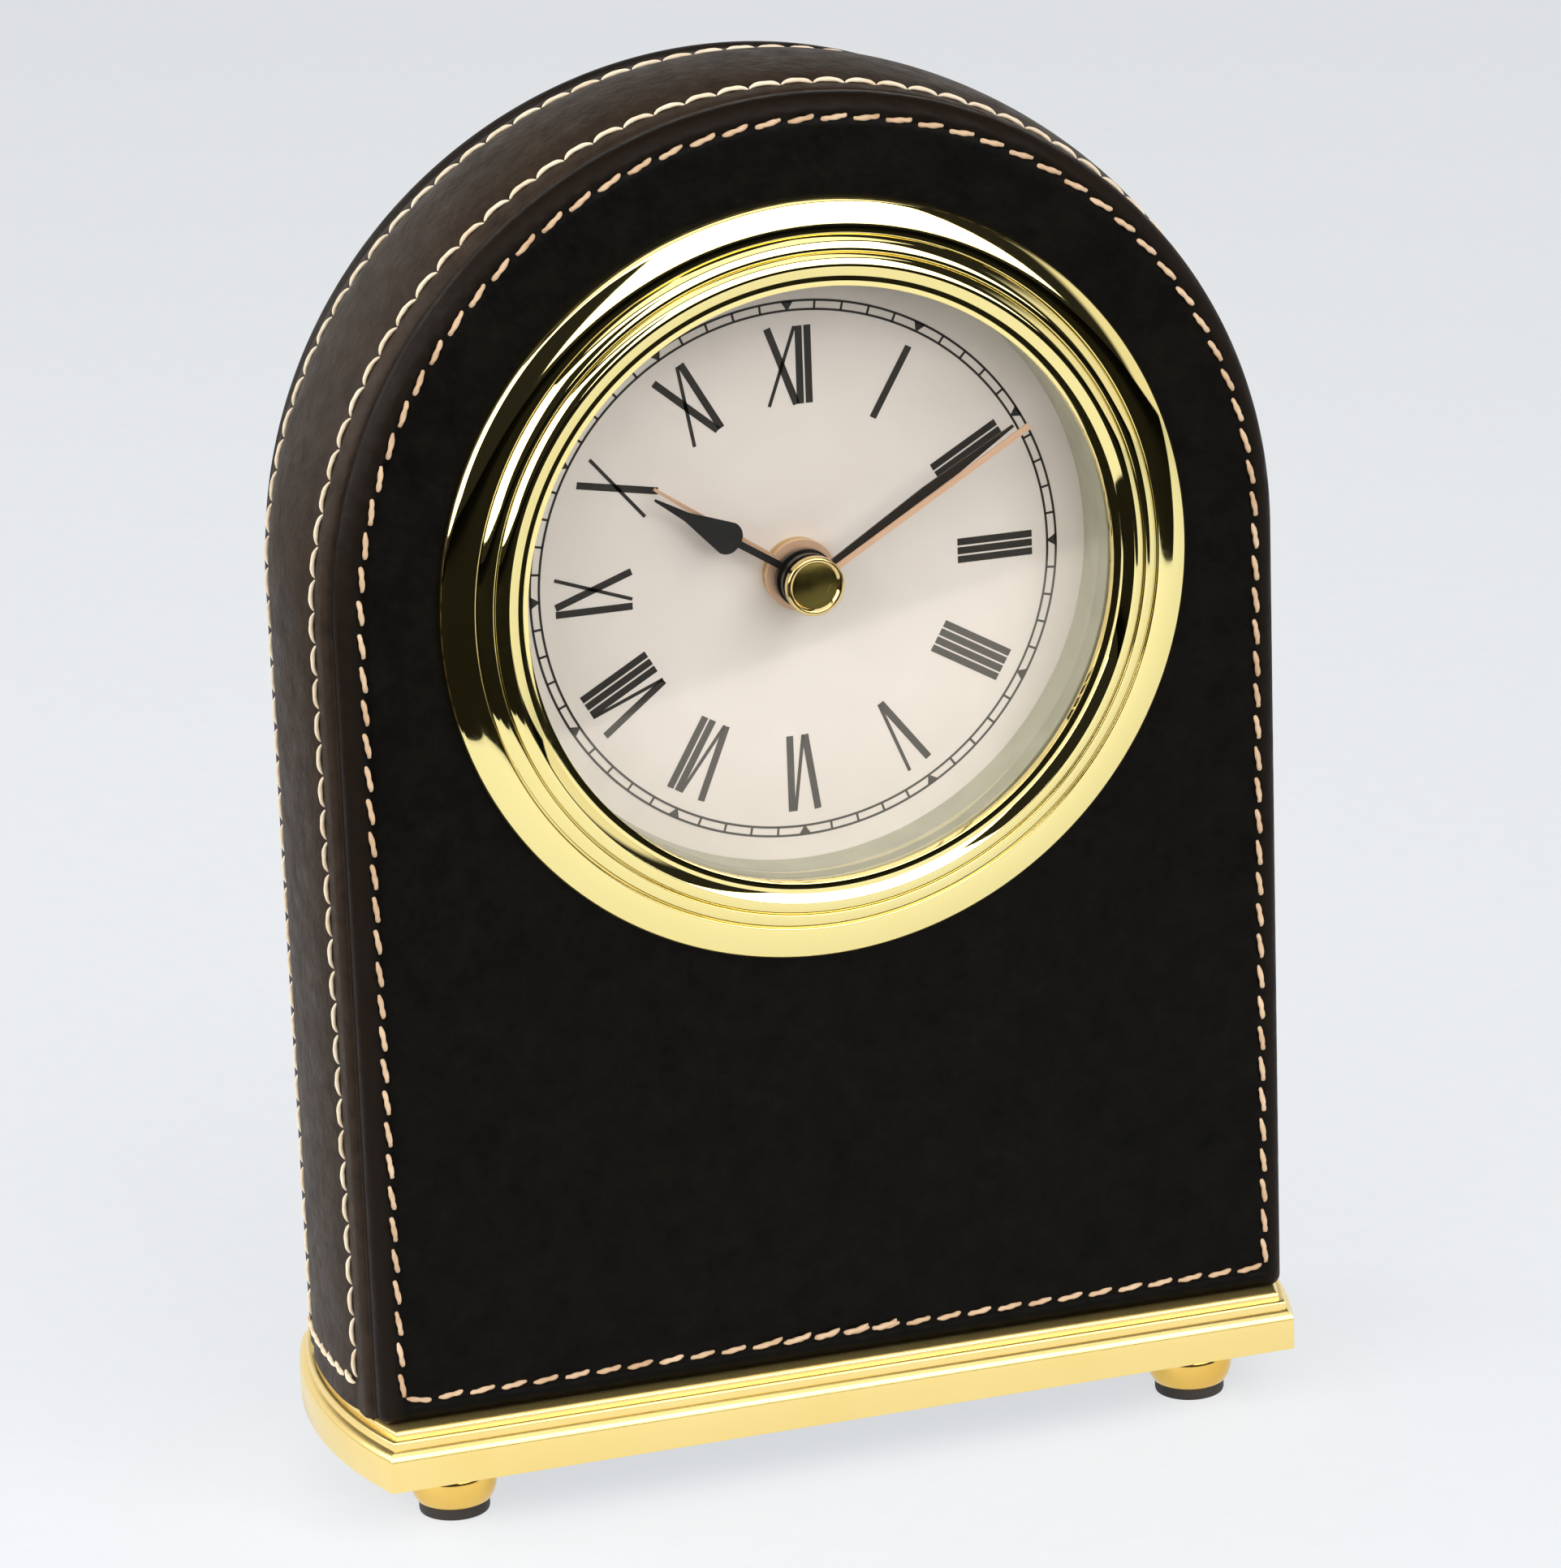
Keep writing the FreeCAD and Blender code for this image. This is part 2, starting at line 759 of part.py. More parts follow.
plinth = new_body("base_plinth")
case_screw_spots = [(side * case_screw_x, case_middle - base_middle) for side in (-1, 1)]
foot_spots = list(foot_places.values())
storey(plinth, base_bottom, block_top, base_plan(ZERO))
round_edges(plinth, size("block_rounding"), level_edges(block_top))
storey(plinth, cover_top, bead_top, base_plan(size("bead_inset")))
round_edges(plinth, size("bead_rounding"), level_edges(bead_top))
storey(plinth, cover_top, base_top, base_plan(size("step_inset")))
round_edges(plinth, size("step_rounding"), level_edges(base_top))
storey(plinth, base_bottom, cover_top, base_plan(size("base_wall")), cut=True)
bosses = [(x, y, size("base_boss_diameter") / 2) for x, y in foot_spots + case_screw_spots]
recess_top = cover_top + size("recess_depth")
storey(plinth, cover_top, recess_top, base_plan(size("base_wall")), *bosses, cut=True)
foot_holes = [(x, y, size("foot_screw_diameter") / 2) for x, y in foot_spots]
foot_screw_end = foot_screw_start + size("foot_screw_head_height") + size("foot_screw_length")
storey(plinth, cover_top, foot_screw_end, *foot_holes, cut=True)
head_hole = size("case_screw_head_diameter") / 2 + screw_clearance
head_top = cover_top + size("case_screw_head_height")
storey(plinth, cover_top, head_top, *[(x, y, head_hole) for x, y in case_screw_spots], cut=True)
shank_hole = size("case_screw_diameter") / 2 + screw_clearance
shank_holes = [(x, y, shank_hole) for x, y in case_screw_spots]
storey(plinth, head_top, base_top + overrun, *shank_holes, cut=True)
place(plinth, 0, base_middle)

base_cover = new_body("base_cover")
cover_holes = [(x, y, size("foot_screw_diameter") / 2 + screw_clearance) for x, y in foot_spots]
storey(base_cover, base_bottom, cover_top, base_plan(size("base_wall") + size("cover_gap")), *cover_holes)
place(base_cover, 0, base_middle)


# Case: front and back boards, the arched side board, the bottom board and their leather
def arched(half_width, low):
    """An upright panel with a half-round top about the middle of the dial."""
    return [
        (-half_width, low),
        (half_width, low),
        (half_width, 0),
        (-half_width, 0, {"turn": 1, "middle_y": 0}),
    ]


panel_low = base_top - dial_height
board_half_width = panel_half_width - leather
board_outline = arched(board_half_width, panel_low + leather)
panel_outline = arched(panel_half_width, panel_low)
bezel_opening = (0, 0, skirt_radius + size("skirt_clearance"))
back_opening = rounded_square(
    size("back_opening_width") / 2, size("back_opening_rounding"), 0, -size("dial_drop")
)
board_rounding = size("panel_rounding") - leather
retainer_inner = skirt_radius + size("retainer_gap")
retainer_wall = retainer_inner + size("retainer_thickness")
retainer_radius = bezel_radius + size("retainer_overhang")
ring_screw_radius = (retainer_wall + retainer_radius) / 2
ring_screw_spots = [polar(ring_screw_radius, degrees) for degrees in RING_SCREW_DIRECTIONS]


def skin(name, blank, board):
    """What is left of a blank outside the board it covers."""
    cut = doc.addObject("Part::Cut", name)
    cut.Base = blank
    cut.Tool = board
    keep(cut, name)


# Points nearer than this count as one
CLOSE = 1e-4


def outer_edges(depth):
    """Choose the edges of a panel's outline, not of its opening, that lie at one depth."""
    at_depth = edges_at_depth(depth)
    low = float(panel_low + leather)
    half_width = float(board_half_width)

    def chosen(edge):
        box = edge.BoundBox
        at_side = box.XMax >= half_width - CLOSE or box.XMin <= CLOSE - half_width
        return at_depth(edge) and (at_side or box.ZMin <= low + CLOSE)

    return chosen


front_board = new_body("front_board")
slab(front_board, leather, side_front, board_outline, bezel_opening)
round_edges(front_board, board_rounding, outer_edges(leather))
ring_screw_tip = side_front + size("retainer_thickness") - size("ring_screw_length")
ring_pilot_holes = [(x, z, size("ring_screw_diameter") / 2) for x, z in ring_screw_spots]
slab(front_board, ring_screw_tip, side_front, *ring_pilot_holes, cut=True)
place(front_board, 0, face_y, dial_height)

front_blank = doc.addObject("PartDesign::Body", "front_blank")
slab(front_blank, ZERO, panel_depth, panel_outline, bezel_opening)
round_edges(front_blank, size("panel_rounding"), outer_edges(0))
slab(front_blank, ring_screw_tip, panel_depth, *ring_pilot_holes, cut=True)
place(front_blank, 0, face_y, dial_height)
skin("front_leather", front_blank, front_board)

back_board = new_body("back_board")
slab(back_board, side_back, case_depth - leather, board_outline, back_opening)
round_edges(back_board, board_rounding, outer_edges(case_depth - leather))
place(back_board, 0, face_y, dial_height)

back_blank = doc.addObject("PartDesign::Body", "back_blank")
slab(back_blank, case_depth - panel_depth, case_depth, panel_outline, back_opening)
round_edges(back_blank, size("panel_rounding"), outer_edges(case_depth))
place(back_blank, 0, face_y, dial_height)
skin("back_leather", back_blank, back_board)


def side_reach(radius):
    """How far a bulged side surface of this radius stands out at its front and back edges."""
    half_depth = case_depth / 2 - side_front
    middle = case_half_width - size("bulge_radius")
    return middle + root(radius * radius - half_depth * half_depth)


def make_side(name, profile):
    """Turn a side profile over the arch, and run it straight down on both sides."""
    body = new_body(name)
    arch = new_sketch(body, "XY_Plane")
    outline(arch, profile)
    spin(body, arch, 180.0, backwards=True)
    walls = new_sketch(body, "XY_Plane")
    draw(walls, [profile, mirrored(profile)])
    extrude(body, walls, arch_height - base_top, backwards=True)
    place(body, 0, face_y, arch_height)


wood_radius = size("bulge_radius") - leather
wood_reach = side_reach(wood_radius)
leather_reach = side_reach(size("bulge_radius"))
make_side(
    "side_frame",
    [
        (frame_inner, side_front),
        (wood_reach, side_front),
        (wood_reach, side_back, {"turn": 1, "radius": wood_radius}),
        (frame_inner, side_back),
    ],
)
make_side(
    "side_leather",
    [
        (wood_reach, side_front, {"turn": -1, "radius": wood_radius}),
        (leather_reach, side_front),
        (leather_reach, side_back, {"turn": 1, "radius": size("bulge_radius")}),
        (wood_reach, side_back),
    ],
)

bottom_board = new_body("bottom_board")
pilot_holes = [(x, case_depth / 2, size("case_screw_diameter") / 2) for x, y in case_screw_spots]
storey(
    bottom_board,
    base_top,
    base_top + size("bottom_board_thickness"),
    rectangle(frame_inner, side_front, side_back),
    *pilot_holes,
)
place(bottom_board, 0, face_y)


# Bezel, lens, inner ring, dial and the ring that clamps them to the front board
def ring_shoulder(rise, radius, half_width):
    """The depth at which a ring's round top meets a line beside its middle."""
    return radius - rise - root(radius * radius - half_width * half_width)


outer_radius = size("outer_ring_radius")
outer_start = outer_radius - size("outer_ring_rise")
outer_end = ring_shoulder(size("outer_ring_rise"), outer_radius, size("outer_ring_width") - outer_radius)
middle_end = ring_shoulder(
    size("middle_ring_rise"), size("middle_ring_radius"), size("middle_ring_width") / 2
)
inner_end = ring_shoulder(size("inner_ring_rise"), size("inner_ring_radius"), size("inner_ring_width") / 2)
lens_seat = size("lip_thickness") - size("lip_rise")
lens_back = lens_seat + size("lens_thickness")
turned(
    "bezel",
    [
        (bezel_radius, 0),
        (bezel_radius, outer_start),
        (first_valley, outer_end, {"turn": -1, "radius": outer_radius}),
        (first_valley, middle_end),
        (second_valley, middle_end, {"turn": -1, "radius": size("middle_ring_radius")}),
        (second_valley, inner_end),
        (slope_top, inner_end, {"turn": -1, "radius": size("inner_ring_radius")}),
        (slope_foot, -size("slope_foot_rise")),
        (opening_radius, -size("lip_rise")),
        (opening_radius, lens_seat),
        (lens_radius, lens_seat),
        (lens_radius, dial_face),
        (skirt_radius, dial_face),
        (skirt_radius, 0),
    ],
    y=face_y,
    z=dial_height,
)
lens = new_body("lens")
slab(lens, lens_seat, lens_back, (0, 0, lens_radius))
place(lens, 0, face_y, dial_height)
turned(
    "inner_ring",
    tube_profile(opening_radius + size("inner_wall_inset"), lens_radius, lens_back, dial_face),
    y=face_y,
    z=dial_height,
)
dial = new_body("dial")
slab(
    dial,
    dial_face,
    dial_back,
    (0, 0, dial_radius),
    (0, -size("dial_drop"), size("dial_hole_diameter") / 2),
)
place(dial, 0, face_y, dial_height)

retainer_thickness = size("retainer_thickness")
retainer_back = dial_back + retainer_thickness
retaining_ring = turned(
    "retaining_ring",
    [
        (retainer_inner, side_front),
        (retainer_radius, side_front),
        (retainer_radius, side_front + retainer_thickness),
        (retainer_wall, side_front + retainer_thickness),
        (retainer_wall, retainer_back),
        (dial_radius - size("retainer_overlap"), retainer_back),
        (dial_radius - size("retainer_overlap"), dial_back),
        (retainer_inner, dial_back),
    ],
    y=face_y,
    z=dial_height,
)
ring_holes = [(x, z, size("ring_screw_diameter") / 2 + screw_clearance) for x, z in ring_screw_spots]
slab(retaining_ring, side_front, side_front + retainer_thickness, *ring_holes, cut=True)
ring_head_back = face_y + side_front + retainer_thickness + size("ring_screw_head_height")
make_screws(
    "ring_screws",
    "ring",
    [(x, ring_head_back, dial_height + z) for x, z in ring_screw_spots],
    upwards=False,
)


# Movement. Its depths are measured back from the front of its housing
def in_movement(thing, x=0, z=0):
    place(thing, x, movement_y, movement_height + z)


third_spot = polar(size("third_distance"), THIRD_DIRECTION)
intermediate_spot = polar(size("intermediate_distance"), INTERMEDIATE_DIRECTION)
rotor_step = polar(size("rotor_distance"), ROTOR_DIRECTION)
rotor_spot = (intermediate_spot[0] + rotor_step[0], intermediate_spot[1] + rotor_step[1])
motion_spot = polar(size("motion_distance"), MOTION_DIRECTION)
setting_step = polar(size("setting_distance"), SETTING_DIRECTION)
setting_spot = (motion_spot[0] + setting_step[0], motion_spot[1] + setting_step[1])
alarm_spot = polar(size("alarm_distance"), ALARM_DIRECTION)

half_movement = size("movement_width") / 2
wall = size("movement_wall")
inner_half = half_movement - wall
inner_rounding = size("movement_rounding") - wall
bay_top = -size("bay_ceiling_distance")
front_case_depth = size("front_case_depth")
housing_depth = size("movement_depth")
back_wall = housing_depth - wall
middle_plate_front = size("middle_plate_depth")
middle_plate_back = middle_plate_front + size("plate_thickness")
rear_plate_front = size("rear_plate_depth")
rear_plate_back = rear_plate_front + size("plate_thickness")
arbor_clearance = size("arbor_clearance")
layer_clearance = size("layer_clearance")
wheel_thickness = size("wheel_thickness")


def compartment(gap):
    """The wheel compartment of the housing: rounded at the top corners, above the battery bay."""
    half = inner_half - gap
    rounding = inner_rounding - gap
    flat = half - rounding
    low = bay_top + wall + gap
    return [
        (-half, low),
        (half, low),
        (half, flat),
        (flat, half, {"turn": 1, "middle_x": flat}),
        (-flat, half),
        (-half, flat, {"turn": 1, "middle_x": -flat}),
    ]


flat_half = inner_half - inner_rounding
battery_bay = [
    (-flat_half, -inner_half, {"turn": 1, "middle_x": -flat_half}),
    (flat_half, -inner_half),
    (inner_half, -flat_half, {"turn": 1, "middle_x": flat_half}),
    (inner_half, bay_top),
    (-inner_half, bay_top),
    (-inner_half, -flat_half),
]
housing_outline = rounded_square(half_movement, size("movement_rounding"))
post_x = size("cover_screw_spacing") / 2
post_spots = [(side * post_x, z) for side in (-1, 1) for z in (post_x, -size("cover_screw_low_distance"))]
posts = [(x, z, size("cover_post_diameter") / 2) for x, z in post_spots]
cover_screw_radius = size("cover_screw_diameter") / 2
screw_seat = housing_depth - size("cover_screw_sink_depth")
screw_tip = screw_seat - size("cover_screw_length")

front_case = new_body("movement_front_case")
slab(front_case, ZERO, front_case_depth, housing_outline)
slab(front_case, wall, front_case_depth, compartment(ZERO), cut=True)
slab(front_case, ZERO, middle_plate_front, *posts)
slab(front_case, wall, front_case_depth, battery_bay, cut=True)
slab(front_case, ZERO, wall, (0, 0, size("bush_diameter") / 2), cut=True)
post_holes = [(x, z, cover_screw_radius) for x, z in post_spots]
slab(front_case, screw_tip, middle_plate_front, *post_holes, cut=True)
in_movement(front_case)

switch_x = -size("switch_side_distance")
switch_z = size("switch_height")
switch_stem = size("switch_stem_width") / 2
switch_clearance = size("switch_clearance")


def box_outline(left, right, low, high):
    return [(left, low), (right, low), (right, high), (left, high)]


stem_hole = size("knob_stem_diameter") / 2 + arbor_clearance
buzzer_spot = (size("buzzer_side_distance"), size("buzzer_height"))
sound_holes = []
for number in range(SOUND_HOLES):
    step_x, step_z = polar(size("sound_circle_diameter") / 2, 360.0 * number / SOUND_HOLES)
    sound_holes.append((buzzer_spot[0] + step_x, buzzer_spot[1] + step_z, size("sound_hole_diameter") / 2))
switch_slot = box_outline(
    switch_x - switch_stem - switch_clearance,
    switch_x + size("switch_travel_length") + switch_stem + switch_clearance,
    switch_z - switch_stem - switch_clearance,
    switch_z + switch_stem + switch_clearance,
)

back_cover = new_body("movement_back_cover")
slab(back_cover, front_case_depth, housing_depth, housing_outline)
slab(back_cover, front_case_depth, back_wall, compartment(ZERO), cut=True)
slab(back_cover, middle_plate_back, housing_depth, *posts)
slab(back_cover, front_case_depth, housing_depth, battery_bay, cut=True)
wide_holes = [(x, z, cover_screw_radius + screw_clearance) for x, z in post_spots]
slab(back_cover, middle_plate_back, screw_seat, *wide_holes, cut=True)
head_holes = [(x, z, size("cover_screw_head_diameter") / 2 + screw_clearance) for x, z in post_spots]
slab(back_cover, screw_seat, housing_depth, *head_holes, cut=True)
slab(
    back_cover,
    back_wall,
    housing_depth,
    (*setting_spot, stem_hole),
    (*alarm_spot, stem_hole),
    switch_slot,
    *sound_holes,
    cut=True,
)
in_movement(back_cover)
screw_head_back = movement_y + screw_seat + size("cover_screw_head_height")
make_screws(
    "cover_screws",
    "cover",
    [(x, screw_head_back, movement_height + z) for x, z in post_spots],
    upwards=False,
)

bush_radius = size("bush_diameter") / 2
bush_front = -(washer_thickness + size("dial_thickness") + size("bush_rise"))
turned(
    "threaded_bush",
    [
        (size("bush_bore_diameter") / 2, bush_front),
        (bush_radius, bush_front),
        (bush_radius, wall),
        (size("bush_flange_diameter") / 2, wall),
        (size("bush_flange_diameter") / 2, wall + size("bush_flange_thickness")),
        (size("bush_bore_diameter") / 2, wall + size("bush_flange_thickness")),
    ],
    y=movement_y,
    z=movement_height,
)
turned(
    "dial_nut",
    tube_profile(bush_radius, size("dial_nut_diameter") / 2, dial_face - size("bush_rise"), dial_face),
    y=face_y,
    z=movement_height,
)
turned(
    "rubber_washer",
    tube_profile(size("dial_hole_diameter") / 2, size("washer_diameter") / 2, dial_back, movement_depth),
    y=face_y,
    z=movement_height,
)

middle_plate = new_body("middle_plate")
pivot_hole = size("wheel_arbor_diameter") / 2 + arbor_clearance
slab(
    middle_plate,
    middle_plate_front,
    middle_plate_back,
    compartment(size("housing_gap")),
    (0, 0, size("minute_pipe_diameter") / 2 + arbor_clearance),
    (*third_spot, pivot_hole),
    (*intermediate_spot, pivot_hole),
    (*rotor_spot, pivot_hole),
    (*setting_spot, stem_hole),
    (*alarm_spot, stem_hole),
    *wide_holes,
)
pillars = [
    (*polar(size("pillar_distance"), degrees), size("pillar_diameter") / 2) for degrees in PILLAR_DIRECTIONS
]
slab(middle_plate, middle_plate_front, rear_plate_front, *pillars)
studs = [
    (rotor_spot[0], rotor_spot[1] + side * size("stator_stud_distance"), size("stator_stud_diameter") / 2)
    for side in (-1, 1)
]
slab(middle_plate, middle_plate_front, size("stator_depth"), *studs)
motion_post_front = size("hour_wheel_depth") - 2 * layer_clearance
slab(middle_plate, motion_post_front, middle_plate_back, (*motion_spot, size("motion_post_diameter") / 2))
in_movement(middle_plate)

rear_plate = new_body("rear_plate")
plate_half = size("rear_plate_half_width")
slab(
    rear_plate,
    rear_plate_front,
    rear_plate_back,
    rectangle(plate_half, -size("rear_plate_low_distance"), size("rear_plate_high_distance")),
    (0, 0, size("second_arbor_diameter") / 2 + arbor_clearance),
    (*third_spot, pivot_hole),
    (*intermediate_spot, pivot_hole),
    (*rotor_spot, pivot_hole),
    (*setting_spot, stem_hole),
    (*alarm_spot, stem_hole),
)
in_movement(rear_plate)


# Motor and electrics
stator = new_body("stator")
stator_margin = size("stator_bore_diameter") / 2 + size("stator_margin_width")
stator_left = rotor_spot[0] - stator_margin
stator_right = rotor_spot[0] + stator_margin
coil_x = size("coil_side_distance")
coil_z = size("coil_height")
window = size("coil_length") / 2 + size("coil_gap")
leg = size("stator_leg_width")
slab(
    stator,
    size("stator_depth"),
    size("stator_depth") + size("stator_thickness"),
    [
        (stator_left, coil_z - window - leg),
        (coil_x + leg, coil_z - window - leg),
        (coil_x + leg, coil_z - window),
        (stator_right, coil_z - window),
        (stator_right, coil_z + window),
        (coil_x + leg, coil_z + window),
        (coil_x + leg, coil_z + window + leg),
        (stator_left, coil_z + window + leg),
    ],
    (*rotor_spot, size("stator_bore_diameter") / 2),
)
in_movement(stator)

coil = new_body("coil")
storey(coil, -size("coil_length") / 2, size("coil_length") / 2, (0, 0, size("coil_diameter") / 2))
storey(coil, -window, window, (0, 0, size("coil_core_diameter") / 2))
place(coil, coil_x, movement_y + size("coil_depth"), movement_height + coil_z)

circuit_left = -size("circuit_left_distance")
circuit_low = size("circuit_low_height")
circuit_board = new_body("circuit_board")
slab(
    circuit_board,
    rear_plate_back,
    rear_plate_back + size("circuit_thickness"),
    box_outline(
        circuit_left,
        circuit_left + size("circuit_width"),
        circuit_low,
        circuit_low + size("circuit_height"),
    ),
)
in_movement(circuit_board)

crystal = doc.addObject("Part::Cylinder", "quartz_crystal")
crystal.setExpression("Radius", (size("crystal_diameter") / 2).text)
crystal.setExpression("Height", size("crystal_length").text)
crystal.Placement = FreeCAD.Placement(FreeCAD.Vector(), FreeCAD.Rotation(FreeCAD.Vector(0, 1, 0), 90))
place(
    crystal,
    circuit_left + size("crystal_inset"),
    movement_y + rear_plate_back + size("crystal_diameter") / 2,
    movement_height + circuit_low - size("crystal_diameter") / 2,
)
keep(crystal, "quartz_crystal")

buzzer = new_body("buzzer")
slab(buzzer, back_wall - size("buzzer_thickness"), back_wall, (*buzzer_spot, size("buzzer_diameter") / 2))
in_movement(buzzer)

battery_radius = size("battery_diameter") / 2
battery_depth = wall + battery_radius + size("battery_clearance")
contact_thickness = size("contact_thickness")
button_end = inner_half - contact_thickness
battery_end = button_end - size("battery_button_length")
battery_start = battery_end - size("battery_length")
battery = new_body("battery")
for start, end, radius in (
    (battery_start, battery_end, battery_radius),
    (battery_start, button_end, size("battery_button_diameter") / 2),
):
    sketch = new_sketch(battery, "YZ_Plane", start)
    circle(sketch, 0, 0, radius)
    extrude(battery, sketch, end - start)
place(battery, 0, movement_y + battery_depth, movement_height - size("battery_drop"))


def make_contact(name, side, spring_length):
    """A sprung plate at one end of the battery bay."""
    contact = new_body(name)
    plate = new_sketch(contact, "YZ_Plane")
    half_height = size("contact_height") / 2
    outline(plate, rectangle(size("contact_width") / 2, -half_height, half_height))
    extrude(contact, plate, contact_thickness, backwards=side > 0)
    if spring_length is not None:
        spring = new_sketch(contact, "YZ_Plane")
        circle(spring, 0, 0, size("contact_spring_diameter") / 2)
        extrude(contact, spring, contact_thickness + spring_length, backwards=side > 0)
    place(contact, side * inner_half, movement_y + battery_depth, movement_height - size("battery_drop"))


make_contact("positive_contact", 1, None)
make_contact("negative_contact", -1, battery_start + inner_half - contact_thickness)


# Wheels and pinions
def toothed(teeth, module, start, thickness, first_tooth):
    """A toothed disc about an axis along Y, with one tooth in the given direction."""
    pitch_radius = teeth * module / 2
    tip = pitch_radius + TOOTH_TOP_SHARE * module
    foot = pitch_radius - TOOTH_ROOT_SHARE * module
    pitch = 360.0 / teeth
    points = []
    for tooth in range(teeth):
        middle = first_tooth + tooth * pitch
        for radius, offset in (
            (foot, -TOOTH_FOOT_WIDTH_SHARE / 2),
            (tip, -TOOTH_TIP_WIDTH_SHARE / 2),
            (tip, TOOTH_TIP_WIDTH_SHARE / 2),
            (foot, TOOTH_FOOT_WIDTH_SHARE / 2),
        ):
            x, z = polar(radius, middle + offset * pitch)
            points.append(FreeCAD.Vector(x, start, z))
    points.append(points[0])
    return Part.Face(Part.makePolygon(points)).extrude(FreeCAD.Vector(0, thickness, 0))


def rod(radius, start, end):
    """A round bar about the axis, between two depths."""
    return Part.makeCylinder(radius, end - start, FreeCAD.Vector(0, start, 0), FreeCAD.Vector(0, 1, 0))


def wheel(name, solids, bores=(), spot=ORIGIN):
    """Join the toothed discs and bars of one wheel, bore it and put it at its arbor."""
    shape = solids[0]
    for solid in solids[1:]:
        shape = shape.fuse(solid)
    for bore in bores:
        shape = shape.cut(bore)
    feature = doc.addObject("Part::Feature", name)
    feature.Shape = shape.removeSplitter()
    in_movement(feature, *spot)
    keep(feature, name)


wheel_run = float(wheel_thickness)
pinion_run = float(size("pinion_thickness"))
pinion_lead = float(layer_clearance)
far = float(overrun)
arbor_radius = float(size("wheel_arbor_diameter")) / 2
arbor_front = float(middle_plate_front + layer_clearance)
arbor_back = float(rear_plate_back - layer_clearance)
dial_step = float(washer_thickness + size("dial_thickness"))


def hand_front(hand):
    """The depth at which the pipe or arbor of a hand ends, just in front of the hand."""
    rise = size(f"{hand}_hand_rise") + size("hand_thickness") + arbor_clearance
    return -dial_step - float(rise)


def mesh(distance, teeth, other_teeth):
    """The module of two wheels from their distance."""
    return 2 * float(size(distance)) / (teeth + other_teeth)


def layer(name):
    return float(size(f"{name}_depth"))


def half_pitch(teeth):
    return 180.0 / teeth


def opposite(direction, teeth):
    """The direction of a tooth beside the gap that faces the meshing wheel."""
    return direction + 180.0 + half_pitch(teeth)


third_module = mesh("third_distance", SECOND_PINION_TEETH, THIRD_WHEEL_TEETH)
centre_module = mesh("third_distance", THIRD_PINION_TEETH, CENTRE_WHEEL_TEETH)
intermediate_module = mesh("intermediate_distance", SECOND_WHEEL_TEETH, INTERMEDIATE_PINION_TEETH)
rotor_module = mesh("rotor_distance", INTERMEDIATE_WHEEL_TEETH, ROTOR_PINION_TEETH)
motion_module = mesh("motion_distance", MINUTE_GEAR_TEETH, MOTION_WHEEL_TEETH)
hour_module = mesh("motion_distance", MOTION_PINION_TEETH, HOUR_WHEEL_TEETH)
setting_module = mesh("setting_distance", MOTION_WHEEL_TEETH, SETTING_PINION_TEETH)
alarm_module = mesh("alarm_distance", ALARM_WHEEL_TEETH, ALARM_PINION_TEETH)

second_arbor_radius = float(size("second_arbor_diameter")) / 2
cap_bore_reach = float(size("second_hand_rise") + size("hand_thickness") + size("cap_bore_depth"))
cap_bore_end = -dial_step - cap_bore_reach
wheel(
    "second_wheel",
    [
        toothed(
            SECOND_WHEEL_TEETH, intermediate_module, layer("second_wheel"), wheel_run, INTERMEDIATE_DIRECTION
        ),
        toothed(
            SECOND_PINION_TEETH,
            third_module,
            layer("third_wheel") - pinion_lead,
            pinion_run,
            THIRD_DIRECTION + half_pitch(SECOND_PINION_TEETH),
        ),
        rod(
            float(size("second_hub_diameter")) / 2,
            layer("third_wheel") - pinion_lead + pinion_run,
            layer("second_wheel"),
        ),
        rod(second_arbor_radius, cap_bore_end, arbor_back),
    ],
)
wheel(
    "third_wheel",
    [
        toothed(
            THIRD_WHEEL_TEETH, third_module, layer("third_wheel"), wheel_run, THIRD_DIRECTION + 180.0
        ),
        toothed(
            THIRD_PINION_TEETH,
            centre_module,
            layer("centre_wheel") - pinion_lead,
            pinion_run,
            opposite(THIRD_DIRECTION, THIRD_PINION_TEETH),
        ),
        rod(arbor_radius, arbor_front, arbor_back),
    ],
    spot=third_spot,
)
clutch_bore = float(size("minute_pipe_diameter")) / 2 + float(size("clutch_clearance"))
wheel(
    "centre_wheel",
    [
        toothed(CENTRE_WHEEL_TEETH, centre_module, layer("centre_wheel"), wheel_run, THIRD_DIRECTION),
    ],
    bores=[rod(clutch_bore, layer("centre_wheel") - far, layer("centre_wheel") + far)],
)
wheel(
    "intermediate_wheel",
    [
        toothed(
            INTERMEDIATE_WHEEL_TEETH,
            rotor_module,
            layer("intermediate_wheel"),
            wheel_run,
            ROTOR_DIRECTION,
        ),
        toothed(
            INTERMEDIATE_PINION_TEETH,
            intermediate_module,
            layer("second_wheel") - pinion_lead,
            pinion_run,
            opposite(INTERMEDIATE_DIRECTION, INTERMEDIATE_PINION_TEETH),
        ),
        rod(arbor_radius, arbor_front, arbor_back),
    ],
    spot=intermediate_spot,
)
magnet_radius = float(size("magnet_diameter")) / 2
magnet_run = float(size("magnet_thickness"))
magnet_start = layer("stator") + (float(size("stator_thickness")) - magnet_run) / 2
wheel(
    "motor_rotor",
    [
        toothed(
            ROTOR_PINION_TEETH,
            rotor_module,
            layer("intermediate_wheel") - pinion_lead,
            pinion_run,
            opposite(ROTOR_DIRECTION, ROTOR_PINION_TEETH),
        ),
        rod(magnet_radius, magnet_start, magnet_start + magnet_run),
        rod(arbor_radius, arbor_front, arbor_back),
    ],
    spot=rotor_spot,
)

